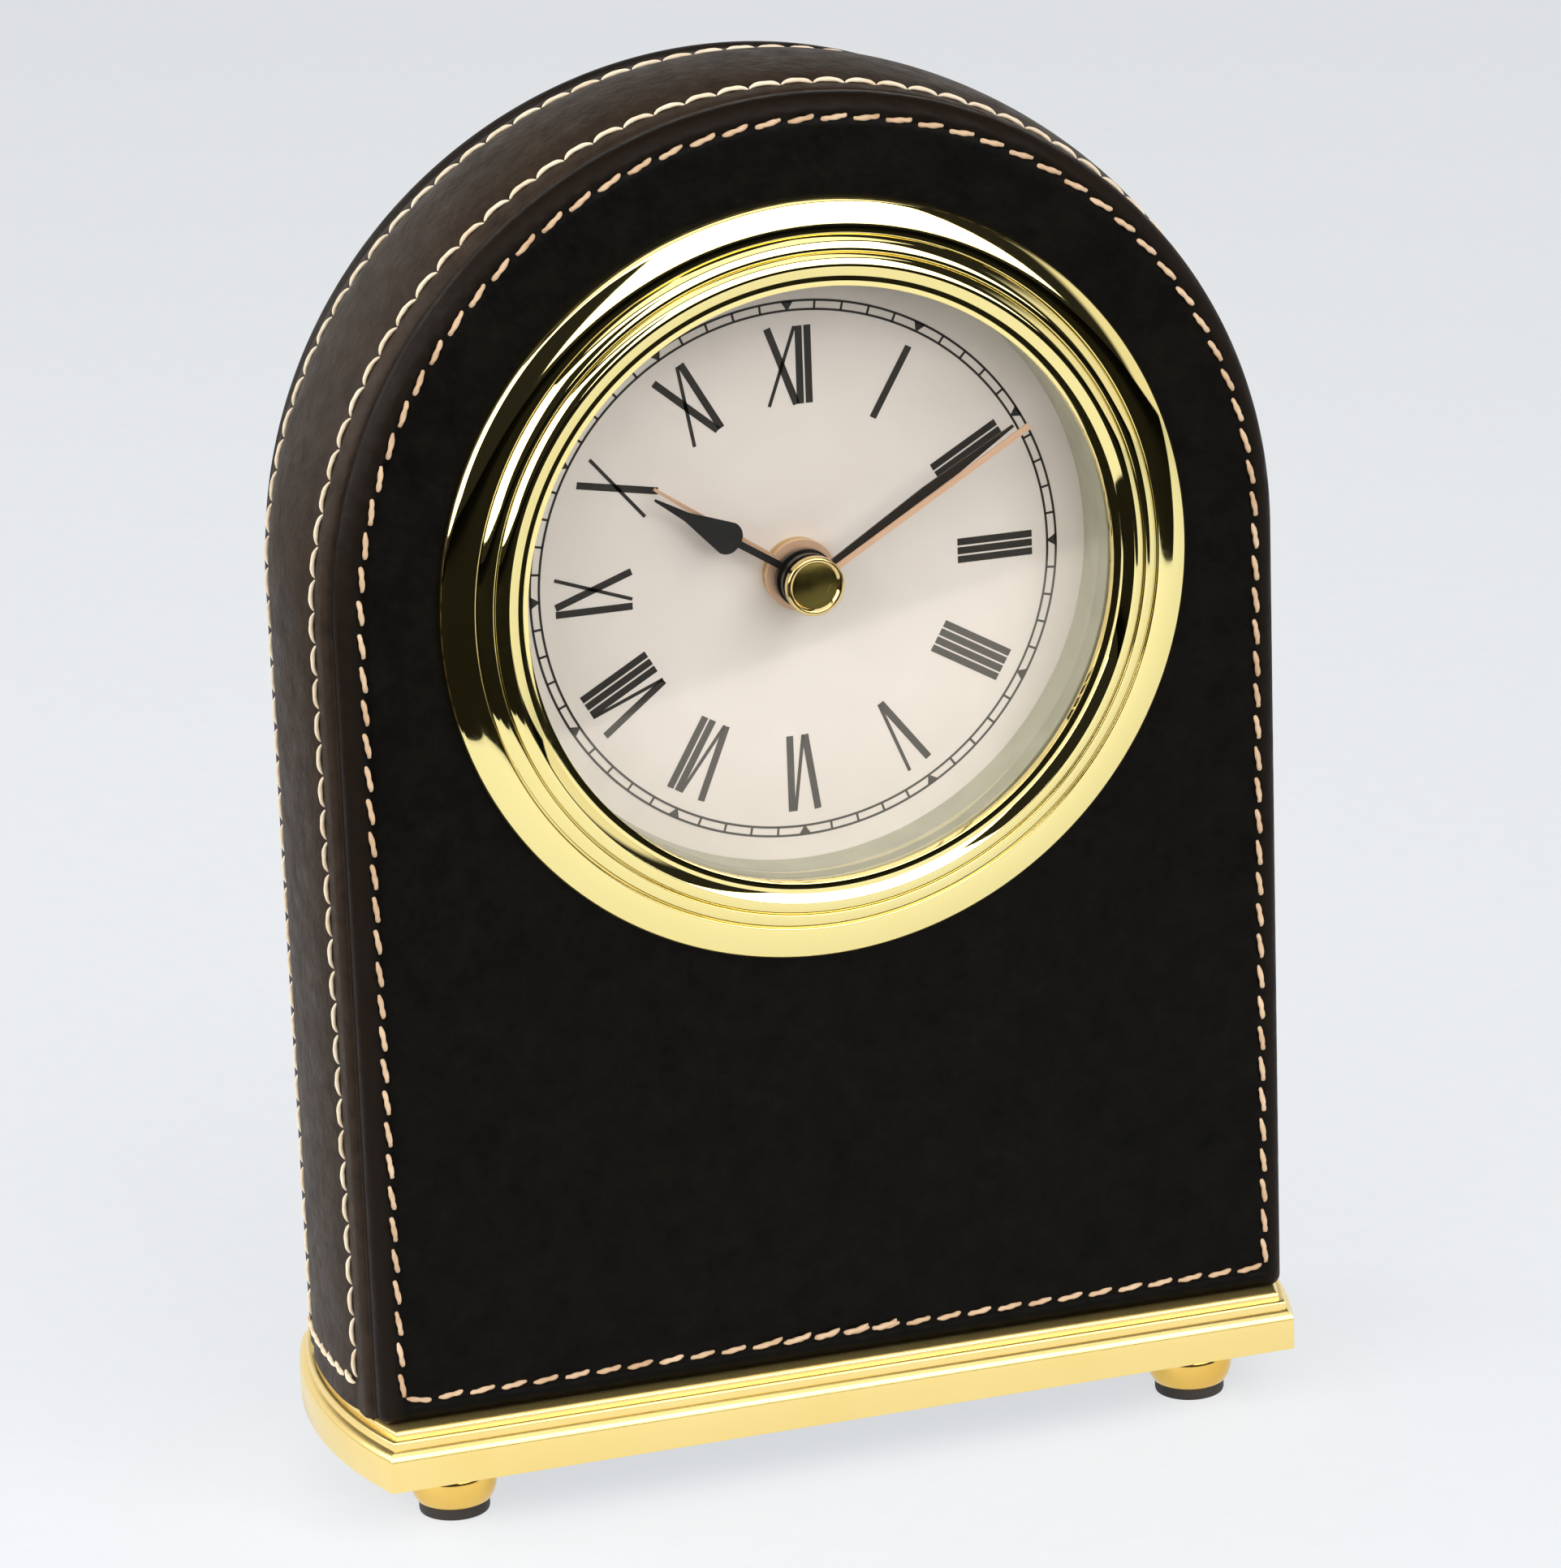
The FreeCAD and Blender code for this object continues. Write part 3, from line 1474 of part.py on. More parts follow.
minute_pipe_radius = float(size("minute_pipe_diameter")) / 2
minute_bore_radius = float(size("minute_pipe_bore_diameter")) / 2
collar_start = layer("centre_wheel") + wheel_run + float(size("clutch_clearance"))
collar_end = collar_start + pinion_lead
wheel(
    "minute_pipe",
    [
        toothed(
            MINUTE_GEAR_TEETH,
            motion_module,
            layer("motion_wheel") - pinion_lead,
            pinion_run,
            MOTION_DIRECTION + half_pitch(MINUTE_GEAR_TEETH),
        ),
        rod(minute_pipe_radius, hand_front("minute"), collar_end),
        rod(float(size("clutch_collar_diameter")) / 2, collar_start, collar_end),
    ],
    bores=[rod(minute_bore_radius, hand_front("minute") - far, collar_end + far)],
)
motion_hub = float(size("motion_hub_diameter")) / 2
motion_bore = float(size("motion_post_diameter")) / 2 + float(arbor_clearance)
motion_start = layer("hour_wheel") - pinion_lead
motion_end = layer("motion_wheel") + wheel_run
wheel(
    "motion_wheel",
    [
        toothed(
            MOTION_WHEEL_TEETH, motion_module, layer("motion_wheel"), wheel_run, MOTION_DIRECTION + 180.0
        ),
        toothed(
            MOTION_PINION_TEETH,
            hour_module,
            motion_start,
            pinion_run,
            opposite(MOTION_DIRECTION, MOTION_PINION_TEETH),
        ),
        rod(motion_hub, motion_start, motion_end),
    ],
    bores=[rod(motion_bore, motion_start - far, motion_end + far)],
    spot=motion_spot,
)
hour_pipe_end = layer("hour_wheel") + wheel_run
wheel(
    "hour_wheel",
    [
        toothed(HOUR_WHEEL_TEETH, hour_module, layer("hour_wheel"), wheel_run, MOTION_DIRECTION),
        rod(float(size("hour_pipe_diameter")) / 2, hand_front("hour"), hour_pipe_end),
    ],
    bores=[rod(float(size("hour_pipe_bore_diameter")) / 2, hand_front("hour") - far, hour_pipe_end + far)],
)
alarm_pipe_end = layer("alarm_wheel") + wheel_run
alarm_bore_radius = float(size("alarm_pipe_bore_diameter")) / 2
wheel(
    "alarm_wheel",
    [
        toothed(ALARM_WHEEL_TEETH, alarm_module, layer("alarm_wheel"), wheel_run, ALARM_DIRECTION),
        rod(float(size("alarm_pipe_diameter")) / 2, hand_front("alarm"), alarm_pipe_end),
    ],
    bores=[rod(alarm_bore_radius, hand_front("alarm") - far, alarm_pipe_end + far)],
)
stem_radius = float(size("knob_stem_diameter")) / 2
stem_front = float(wall + layer_clearance)
knob_front = housing_depth + size("knob_gap")
stem_back = float(knob_front + size("knob_bore_depth"))
wheel(
    "setting_arbor",
    [
        toothed(
            SETTING_PINION_TEETH,
            setting_module,
            layer("motion_wheel") - pinion_lead,
            pinion_run,
            opposite(SETTING_DIRECTION, SETTING_PINION_TEETH),
        ),
        rod(stem_radius, stem_front, stem_back),
    ],
    spot=setting_spot,
)
wheel(
    "alarm_arbor",
    [
        toothed(
            ALARM_PINION_TEETH,
            alarm_module,
            layer("alarm_wheel") - pinion_lead,
            pinion_run,
            opposite(ALARM_DIRECTION, ALARM_PINION_TEETH),
        ),
        rod(stem_radius, stem_front, stem_back),
    ],
    spot=alarm_spot,
)


# Knobs and the alarm switch at the back
def make_knob(name, diameter, spot):
    """A fluted knob on the end of its arbor."""
    knob = new_body(name)
    knob_back = knob_front + size("knob_height")
    slab(knob, knob_front, knob_back, (0, 0, diameter / 2))
    flutes = []
    for flute in range(KNOB_FLUTES):
        x, z = polar(diameter / 2, 360.0 * flute / KNOB_FLUTES)
        flutes.append((x, z, size("knob_flute_diameter") / 2))
    slab(knob, knob_front, knob_back, *flutes, cut=True)
    bore_end = knob_front + size("knob_bore_depth")
    slab(knob, knob_front, bore_end, (0, 0, size("knob_stem_diameter") / 2), cut=True)
    in_movement(knob, *spot)


make_knob("set_knob", size("set_knob_diameter"), setting_spot)
make_knob("alarm_knob", size("alarm_knob_diameter"), alarm_spot)

alarm_switch = new_body("alarm_switch")
foot_back = back_wall - arbor_clearance
thumb_front = housing_depth + arbor_clearance
switch_half_width = size("switch_width") / 2
switch_half_height = size("switch_thumb_height") / 2
thumb = box_outline(-switch_half_width, switch_half_width, -switch_half_height, switch_half_height)
slab(alarm_switch, thumb_front, housing_depth + size("switch_rise"), thumb)
stem = box_outline(-switch_stem, switch_stem, -switch_stem, switch_stem)
slab(alarm_switch, foot_back - size("switch_foot_thickness"), thumb_front, stem)
foot = box_outline(-switch_half_height, switch_half_height, -switch_half_height, switch_half_height)
slab(alarm_switch, foot_back - size("switch_foot_thickness"), foot_back, foot)
in_movement(alarm_switch, switch_x, switch_z)


# Hands. Their heights are measured forwards from the dial, and they point at their rest angles
def make_hand(name, blade, collet_radius, bore_radius, degrees):
    """A flat blade on a short collet, turned about the middle of the dial."""
    hand = new_body(f"{name}_hand")
    rise = size(f"{name}_hand_rise")
    front = dial_face - rise - size("hand_thickness")
    back = dial_face - rise
    slab(hand, front, back, blade)
    slab(hand, front, back + size("collet_length"), (0, 0, collet_radius))
    slab(hand, front - overrun, back + overrun, (0, 0, bore_radius), cut=True)
    hand.Placement = FreeCAD.Placement(
        FreeCAD.Vector(), FreeCAD.Rotation(FreeCAD.Vector(0, 1, 0), degrees)
    )
    place(hand, 0, face_y, movement_height)


def tapering(stations):
    """An upright blade, the same on both sides, from (height, half width) stations."""
    right = [(half_width, height) for height, half_width in stations]
    left = [(-half_width, height) for height, half_width in reversed(stations)]
    return right + left


def hand_length(hand):
    """How far a hand reaches, from the margin it leaves inside the bezel."""
    return opening_radius - size(f"{hand}_hand_margin")


second_collet = size("second_collet_diameter") / 2
minute_collet = size("minute_collet_diameter") / 2
hour_collet = size("hour_collet_diameter") / 2
alarm_disc = size("alarm_disc_diameter") / 2
second_half_width = size("second_hand_width") / 2
second_tip_half = size("second_tip_width") / 2
minute_length = hand_length("minute")
make_hand(
    "second",
    tapering([(ZERO, second_half_width), (hand_length("second"), second_tip_half)]),
    second_collet,
    size("second_arbor_diameter") / 2,
    SECOND_HAND_ANGLE,
)
make_hand(
    "minute",
    tapering(
        [
            (ZERO, size("minute_root_width") / 2),
            (minute_length * MINUTE_MIDDLE_SHARE, size("minute_middle_width") / 2),
            (minute_length, size("minute_tip_width") / 2),
        ]
    ),
    minute_collet,
    size("minute_pipe_diameter") / 2,
    MINUTE_HAND_ANGLE,
)
hour_neck = size("hour_neck_width") / 2
hour_drop = size("hour_drop_width") / 2
hour_flare = size("hour_tip_start_width") / 2
hour_tip = size("hour_tip_width") / 2
hour_length = hand_length("hour")
drop_start = hour_length * HOUR_DROP_START_SHARE
drop_middle = hour_length * HOUR_DROP_MIDDLE_SHARE
tip_start = hour_length * HOUR_TIP_START_SHARE
hour_blade = [
    (hour_neck, 0),
    (hour_neck, drop_start),
    (hour_drop, drop_middle, {"turn": 1, "middle_y": drop_middle}),
    (hour_flare, tip_start),
    (hour_tip, hour_length),
    (-hour_tip, hour_length),
    (-hour_flare, tip_start),
    (-hour_drop, drop_middle),
    (-hour_neck, drop_start, {"turn": 1, "middle_y": drop_middle}),
    (-hour_neck, 0),
]
make_hand("hour", hour_blade, hour_collet, size("hour_pipe_diameter") / 2, HOUR_HAND_ANGLE)
make_hand(
    "alarm",
    tapering(
        [
            (ZERO, size("alarm_pointer_width") / 2),
            (hand_length("alarm"), size("alarm_tip_width") / 2),
        ]
    ),
    alarm_disc,
    size("alarm_pipe_diameter") / 2,
    ALARM_HAND_ANGLE,
)

cap_radius = size("cap_diameter") / 2
cap_back = dial_face - size("second_hand_rise") - size("hand_thickness")
cap_front = cap_back - size("cap_height")
bore_front = cap_back - size("cap_bore_depth")
turned(
    "hub_cap",
    [
        (size("second_arbor_diameter") / 2, cap_back),
        (size("second_arbor_diameter") / 2, bore_front),
        (0, bore_front),
        (0, cap_front + size("cap_dish_depth")),
        (cap_radius - size("cap_rim_width"), cap_front + size("cap_dish_depth")),
        (cap_radius - size("cap_rim_width"), cap_front),
        (cap_radius, cap_front),
        (cap_radius, cap_back),
    ],
    y=face_y,
    z=movement_height,
)

doc.recompute()
os.makedirs("parts", exist_ok=True)
for feature in doc.Objects:
    if "Invalid" in feature.State or "Error" in feature.State:
        raise RuntimeError(f"{feature.Label} is not sound: {feature.State}")
for part in parts:
    if part.Shape.isNull() or not part.Shape.isValid() or not part.Shape.Solids:
        raise RuntimeError(f"{part.Label} has no valid solid")
    part.Shape.exportStep(f"parts/{part.Label}.step")
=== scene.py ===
import math
import random

import bmesh
import bpy
from mathutils import Matrix, Vector


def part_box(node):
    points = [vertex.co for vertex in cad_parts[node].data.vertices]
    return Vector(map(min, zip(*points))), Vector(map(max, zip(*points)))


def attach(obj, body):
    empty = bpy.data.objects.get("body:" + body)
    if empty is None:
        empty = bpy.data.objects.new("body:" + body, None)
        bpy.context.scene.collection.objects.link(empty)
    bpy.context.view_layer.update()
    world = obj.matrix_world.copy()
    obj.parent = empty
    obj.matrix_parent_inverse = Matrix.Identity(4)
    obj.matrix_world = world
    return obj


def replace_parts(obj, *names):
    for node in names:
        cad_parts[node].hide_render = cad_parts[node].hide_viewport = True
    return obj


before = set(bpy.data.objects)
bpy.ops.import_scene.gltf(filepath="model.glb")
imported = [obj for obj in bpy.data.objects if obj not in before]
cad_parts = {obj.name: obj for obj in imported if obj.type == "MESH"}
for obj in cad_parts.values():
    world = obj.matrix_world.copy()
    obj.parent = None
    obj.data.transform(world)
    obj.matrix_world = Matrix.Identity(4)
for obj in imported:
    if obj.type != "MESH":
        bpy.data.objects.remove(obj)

# Every length below is in millimetres of the frame, and MM turns it into metres.
# x runs to the right seen from the front, y runs from the front to the back, z runs up.
# A depth is a distance behind the leather face of the front.
MM = 0.001

# The start file's own objects aren't part of the scene.
for leftover in ("Cube", "Light", "Camera"):
    if leftover in bpy.data.objects:
        bpy.data.objects.remove(bpy.data.objects[leftover], do_unlink=True)

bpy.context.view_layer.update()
random.seed(41)

# Levels of the case
FRONT_Y = -17.2
BEZEL_Z = 110.0
DIAL_Z = 109.3
ARCH_Z = 109.0
CASE_BOTTOM = 14.2
PANEL_HALF_WIDTH = 56.5
SIDE_HALF_WIDTH = 58.8
SIDE_BULGE_RADIUS = 62.0
SIDE_FRONT = 3.9
SIDE_BACK = 31.1
SIDE_MIDDLE = (SIDE_FRONT + SIDE_BACK) / 2
BACK_FRONT = 31.6
BACK_FACE = 35.0
DIAL_FACE = 7.7

# Leather and seams
PANEL_THICKNESS = 3.4
PANEL_CORNER = 1.4
PANEL_LEAST_CORNER = 0.2
PANEL_ROLL = 2.0
LEATHER_SHEET = 0.9
EDGE_STEP = 0.06
GROOVE_WIDTH = 0.5
PUCKER_SHARE = 0.35
HOLLOW_WIDTH = 2.2
STITCH_PITCH = 3.9
STITCH_MARGIN = 2.6
SIDE_ROW_FRONT = 7.2
SIDE_ROW_BACK = 27.8

# Openings
BEZEL_HOLE_RADIUS = 40.9
BACK_HOLE_HALF = 32.0
BACK_HOLE_CORNER = 8.0

# Points closer together than this are one point.
WELD = 0.0005


def at(x, depth, z):
    """A point of the frame, in metres."""
    return Vector((x * MM, (FRONT_Y + depth) * MM, z * MM))


# Shapes

def mesh_piece(name, points, faces, material, body="clock_case", smooth=35.0):
    """A piece from points in metres and faces, smooth up to an angle and sharp past it."""
    mesh = bpy.data.meshes.new(name)
    mesh.from_pydata([tuple(p) for p in points], [], faces)
    work = bmesh.new()
    work.from_mesh(mesh)
    bmesh.ops.remove_doubles(work, verts=work.verts, dist=WELD * MM)
    bmesh.ops.recalc_face_normals(work, faces=work.faces)
    work.to_mesh(mesh)
    work.free()
    mesh.shade_smooth()
    mesh.set_sharp_from_angle(angle=math.radians(smooth))
    piece = bpy.data.objects.new(name, mesh)
    bpy.context.scene.collection.objects.link(piece)
    mesh.materials.append(material)
    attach(piece, body)
    return piece


def ring_faces(rings, count, closed_rings=False, closed_around=True):
    """The faces between neighbouring rings of count points each."""
    faces = []
    last_ring = rings if closed_rings else rings - 1
    last_point = count if closed_around else count - 1
    for ring in range(last_ring):
        for k in range(last_point):
            a = ring * count + k
            b = ring * count + (k + 1) % count
            c = ((ring + 1) % rings) * count + (k + 1) % count
            d = ((ring + 1) % rings) * count + k
            faces.append((a, b, c, d))
    return faces


def lathe(name, profile, centre, axis, material, body="clock_case", steps=320, closed=True):
    """A turned piece. The profile is (radius, distance along the axis) and centre is in metres."""
    points = []
    for radius, along in profile:
        for k in range(steps):
            turn = 2 * math.pi * k / steps
            if axis == "y":
                offset = Vector((radius * math.sin(turn), along, radius * math.cos(turn)))
            else:
                offset = Vector((radius * math.sin(turn), radius * math.cos(turn), along))
            points.append(centre + offset * MM)
    faces = ring_faces(len(profile), steps, closed_rings=closed)
    return mesh_piece(name, points, faces, material, body)


def arc(centre, radius, start, end, steps):
    """Points of an arc round a centre, from one angle to another in degrees."""
    points = []
    for k in range(steps + 1):
        angle = math.radians(start + (end - start) * k / steps)
        points.append((centre[0] + radius * math.cos(angle), centre[1] + radius * math.sin(angle)))
    return points


def groove(distance, depth, width):
    """How deep a soft groove is at a distance from its middle."""
    return depth * math.exp(-(distance / width) ** 2)


class ArchLine:
    """The line up the left side, over the arch and down the right side of a beehive outline."""

    def __init__(self, half_width, centre_z, bottom_z):
        self.half_width = half_width
        self.centre_z = centre_z
        self.straight = centre_z - bottom_z
        self.bottom_z = bottom_z
        self.length = 2 * self.straight + math.pi * half_width

    def point(self, distance):
        """(x, z) and the direction of travel at a distance along the line."""
        if distance <= self.straight:
            return (-self.half_width, self.bottom_z + distance), (0.0, 1.0)
        if distance >= self.length - self.straight:
            return (self.half_width, self.bottom_z + self.length - distance), (0.0, -1.0)
        angle = math.pi - (distance - self.straight) / self.half_width
        x = self.half_width * math.cos(angle)
        z = self.centre_z + self.half_width * math.sin(angle)
        return (x, z), (math.sin(angle), -math.cos(angle))


def panel_loop(inset, arch_steps=240, side_steps=64, bottom_steps=90, corner_steps=6):
    """The outline of the front or the back panel, drawn in by an inset, as (x, z) points."""
    half = PANEL_HALF_WIDTH - inset
    bottom = CASE_BOTTOM + inset
    corner = max(PANEL_CORNER - inset, PANEL_LEAST_CORNER)
    loop = []
    for k in range(side_steps):
        loop.append((-half, bottom + corner + (BEZEL_Z - bottom - corner) * k / side_steps))
    for k in range(arch_steps):
        angle = math.pi * (1 - k / arch_steps)
        loop.append((half * math.cos(angle), BEZEL_Z + half * math.sin(angle)))
    for k in range(side_steps):
        loop.append((half, BEZEL_Z - (BEZEL_Z - bottom - corner) * k / side_steps))
    for k in range(corner_steps):
        angle = -math.pi / 2 * k / corner_steps
        loop.append((half - corner + corner * math.cos(angle), bottom + corner + corner * math.sin(angle)))
    for k in range(bottom_steps):
        loop.append((half - corner - 2 * (half - corner) * k / bottom_steps, bottom))
    for k in range(corner_steps):
        angle = -math.pi / 2 - math.pi / 2 * k / corner_steps
        loop.append((-half + corner + corner * math.cos(angle), bottom + corner + corner * math.sin(angle)))
    return loop


def leather_panel(name, face_depth, edge_depth, hole, material, pulls):
    """A leather-covered panel: rolled edge, pulled in along the seam, and a hole in its middle."""
    outward = 1.0 if edge_depth > face_depth else -1.0
    thickness = abs(edge_depth - face_depth)
    roll_steps = 8
    face_steps = 11
    face_pitch = 0.2
    rim = [(1.0, thickness), (0.35, thickness), (0.08, thickness - 0.22)]
    for k in range(roll_steps + 1):
        angle = math.pi / 2 * k / roll_steps
        rim.append((PANEL_ROLL - PANEL_ROLL * math.cos(angle), PANEL_ROLL - PANEL_ROLL * math.sin(angle)))
    insets = rim + [(PANEL_ROLL + face_pitch * k, 0.0) for k in range(1, face_steps + 1)]
    points = []
    for inset, back in insets:
        for x, z in panel_loop(inset):
            dip = groove(inset - STITCH_MARGIN, pulls, GROOVE_WIDTH)
            pucker = 0.0
            if 0.0 < inset < STITCH_MARGIN:
                pucker = pulls * PUCKER_SHARE * math.sin(2 * math.pi * (x + z) / STITCH_PITCH)
                pucker *= math.sin(math.pi * inset / STITCH_MARGIN)
            points.append(at(x, face_depth + outward * (back + dip + pucker), z))
    last_loop = panel_loop(insets[-1][0])
    spans = 22
    for k in range(1, spans + 1):
        share = k / spans
        for x, z in last_loop:
            hx, hz = hole(x, z)
            points.append(at(x + (hx - x) * share, face_depth, z + (hz - z) * share))
    for x, z in last_loop:
        hx, hz = hole(x, z)
        points.append(at(hx, face_depth + outward * LEATHER_SHEET, hz))
    rings = len(points) // len(last_loop)
    faces = ring_faces(rings, len(last_loop))
    return mesh_piece(name, points, faces, material, smooth=50.0)


def side_reach(depth):
    """How far the side band stands out from the case's middle at a depth."""
    drop = depth - SIDE_MIDDLE
    return SIDE_HALF_WIDTH - SIDE_BULGE_RADIUS + math.sqrt(SIDE_BULGE_RADIUS ** 2 - drop ** 2)


def side_place(line, distance, depth, lift=0.0):
    """A point on the side band, with its direction of travel and the way out of the leather."""
    (x, z), (tx, tz) = line.point(distance)
    across_x, across_z = -tz, tx
    reach = side_reach(depth) - line.half_width + lift
    point = at(x + across_x * reach, depth, z + across_z * reach)
    lean = (depth - SIDE_MIDDLE) / SIDE_BULGE_RADIUS
    out = Vector((across_x * math.sqrt(1 - lean * lean), lean, across_z * math.sqrt(1 - lean * lean)))
    return point, Vector((tx, 0.0, tz)), out


# Stitches

class Thread:
    """Collects the stitches of one seam into one mesh of twisted two-ply strands."""

    def __init__(self):
        self.points = []
        self.faces = []

    def stitch(self, centre, along, out, length, thick, lift, bow, slant, dip=0.35, twist=0.17, pinch=5.0):
        """One stitch. It arches out of the leather, bows sideways and sinks in at both ends."""
        rings, sides = 15, 10
        along = along.normalized()
        out = out.normalized()
        across = out.cross(along).normalized()
        first = len(self.points)
        phase = random.uniform(0.0, math.pi)
        turns = 1.1 + random.uniform(-0.15, 0.15)
        for ring in range(rings):
            share = -1 + 2 * ring / (rings - 1)
            height = lift * (1 - abs(share) ** 3) - dip * abs(share) ** 6
            sideways = bow * (1 - share * share) - bow * 0.45 + slant * share
            middle = centre + (along * (share * length / 2) + out * height + across * sideways) * MM
            swell = math.sqrt(max(1 - abs(share) ** pinch, 0.0)) * 0.8 + 0.2
            for side in range(sides):
                angle = 2 * math.pi * side / sides
                ply = 1 + twist * math.cos(2 * (angle - phase - turns * math.pi * share))
                radius = thick / 2 * swell * ply
                self.points.append(middle + (across * math.cos(angle) + out * math.sin(angle)) * radius * MM)
        for ring in range(rings - 1):
            for side in range(sides):
                a = first + ring * sides + side
                b = first + ring * sides + (side + 1) % sides
                self.faces.append((a, b, b + sides, a + sides))
        self.faces.append(tuple(first + side for side in range(sides)))
        end = first + (rings - 1) * sides
        self.faces.append(tuple(end + side for side in range(sides)))

    def piece(self, name, material, slot):
        """The seam as one piece of the case."""
        return mesh_piece(name, self.points, self.faces, material, smooth=60.0)


# Materials

class Look:
    """A new node material with its main shader, and short ways to add the usual nodes."""

    def __init__(self, name, colour, roughness, metallic=0.0):
        self.material = bpy.data.materials.new(name)
        self.material.use_nodes = True
        self.nodes = self.material.node_tree.nodes
        self.links = self.material.node_tree.links
        self.shader = self.nodes["Principled BSDF"]
        self.shader.inputs["Base Color"].default_value = (*colour, 1.0)
        self.shader.inputs["Roughness"].default_value = roughness
        self.shader.inputs["Metallic"].default_value = metallic
        self.place = self.nodes.new("ShaderNodeTexCoord").outputs["Object"]
        self.material.diffuse_color = (*colour, 1.0)

    def stretched(self, scale):
        """The object's own coordinates, scaled along each axis."""
        node = self.nodes.new("ShaderNodeMapping")
        node.inputs["Scale"].default_value = scale
        self.links.new(self.place, node.inputs["Vector"])
        return node.outputs["Vector"]

    def noise(self, size, detail=4.0, rough=0.55, place=None):
        """Cloudy noise whose blotches are about size millimetres across."""
        node = self.nodes.new("ShaderNodeTexNoise")
        node.inputs["Scale"].default_value = 1.0 / (size * MM)
        node.inputs["Detail"].default_value = detail
        node.inputs["Roughness"].default_value = rough
        self.links.new(place or self.place, node.inputs["Vector"])
        return node.outputs["Fac"]

    def cells(self, size):
        """Cells about size millimetres across, as distance from their middles."""
        node = self.nodes.new("ShaderNodeTexVoronoi")
        node.inputs["Scale"].default_value = 1.0 / (size * MM)
        self.links.new(self.place, node.inputs["Vector"])
        return node.outputs["Distance"]

    def ramp(self, value, stops):
        """A colour ramp over a value, from (position, colour) stops."""
        node = self.nodes.new("ShaderNodeValToRGB")
        node.color_ramp.elements[0].position = stops[0][0]
        node.color_ramp.elements[0].color = (*stops[0][1], 1.0)
        node.color_ramp.elements[1].position = stops[-1][0]
        node.color_ramp.elements[1].color = (*stops[-1][1], 1.0)
        for position, colour in stops[1:-1]:
            element = node.color_ramp.elements.new(position)
            element.color = (*colour, 1.0)
        self.links.new(value, node.inputs["Fac"])
        return node.outputs["Color"]

    def range(self, value, low, high, start=0.3, end=0.7):
        """A value stretched from start..end to low..high."""
        node = self.nodes.new("ShaderNodeMapRange")
        node.inputs["From Min"].default_value = start
        node.inputs["From Max"].default_value = end
        node.inputs["To Min"].default_value = low
        node.inputs["To Max"].default_value = high
        self.links.new(value, node.inputs["Value"])
        return node.outputs["Result"]

    def rim(self, start, end):
        """Grows from 0 to 1 towards the outline of the arched panel, in millimetres from its middle."""
        split = self.nodes.new("ShaderNodeSeparateXYZ")
        self.links.new(self.place, split.inputs["Vector"])
        above = self.nodes.new("ShaderNodeMapRange")
        reach = 100.0
        above.inputs["From Min"].default_value = BEZEL_Z * MM
        above.inputs["From Max"].default_value = (BEZEL_Z + reach) * MM
        above.inputs["To Max"].default_value = reach * MM
        self.links.new(split.outputs["Z"], above.inputs["Value"])
        flat = self.nodes.new("ShaderNodeCombineXYZ")
        self.links.new(split.outputs["X"], flat.inputs["X"])
        self.links.new(above.outputs["Result"], flat.inputs["Z"])
        away = self.nodes.new("ShaderNodeVectorMath")
        away.operation = "LENGTH"
        self.links.new(flat.outputs["Vector"], away.inputs[0])
        return self.range(away.outputs["Value"], 0.0, 1.0, start * MM, end * MM)

    def blend(self, first, second, share):
        """Two values added in shares of one."""
        parts = []
        for value, part in ((first, 1.0 - share), (second, share)):
            node = self.nodes.new("ShaderNodeMath")
            node.operation = "MULTIPLY"
            node.inputs[1].default_value = part
            self.links.new(value, node.inputs[0])
            parts.append(node.outputs["Value"])
        total = self.nodes.new("ShaderNodeMath")
        self.links.new(parts[0], total.inputs[0])
        self.links.new(parts[1], total.inputs[1])
        return total.outputs["Value"]

    def colour(self, value, stops):
        """Colours the surface by a value."""
        self.links.new(self.ramp(value, stops), self.shader.inputs["Base Color"])

    def roughness(self, value, low, high):
        """Lets the roughness vary with a value."""
        self.links.new(self.range(value, low, high), self.shader.inputs["Roughness"])

    def bump(self, value, height, strength=1.0, below=None):
        """Raises the surface by a value, height in millimetres."""
        node = self.nodes.new("ShaderNodeBump")
        node.inputs["Strength"].default_value = strength
        node.inputs["Distance"].default_value = height * MM
        self.links.new(value, node.inputs["Height"])
        if below:
            self.links.new(below, node.inputs["Normal"])
        return node.outputs["Normal"]

    def normal(self, output):
        """Uses a bumped normal on the main shader."""
        self.links.new(output, self.shader.inputs["Normal"])


def leather(name, dark, light, shine, grain, gloss, edge=None):
    """Fine pebbled leather with soft creases and uneven gloss; an edge colour, where given, paints a
    highlight that lightens towards the panel's rolled outline.
    """
    look = Look(name, light, shine)
    cloud = look.noise(3.2, 9.0, 0.75)
    # The edge colour is painted light: the leather turns lighter towards the rolled outline where the roll
    # catches the light, mixed with the real mottle.
    if edge:
        mottle_and_edge_sheen = look.blend(cloud, look.rim(53.6, 55.6), 0.45)
        look.colour(mottle_and_edge_sheen, [(0.18, dark), (0.40, light), (0.62, edge), (0.85, edge)])
    else:
        look.colour(cloud, [(0.32, dark), (0.72, light)])
    look.roughness(look.noise(3.0, 6.0, 0.65), shine - 0.08, shine + 0.12)
    pebbles = look.bump(look.cells(grain), 0.05, 0.75)
    wrinkles = look.bump(look.noise(1.3, 5.0, 0.6), 0.10, 0.7, pebbles)
    creases = look.noise(6.0, 3.0, 0.5, look.stretched((1.0, 1.0, 0.45)))
    look.normal(look.bump(creases, 0.35, 0.6, wrinkles))
    look.shader.inputs["Specular IOR Level"].default_value = gloss
    return look


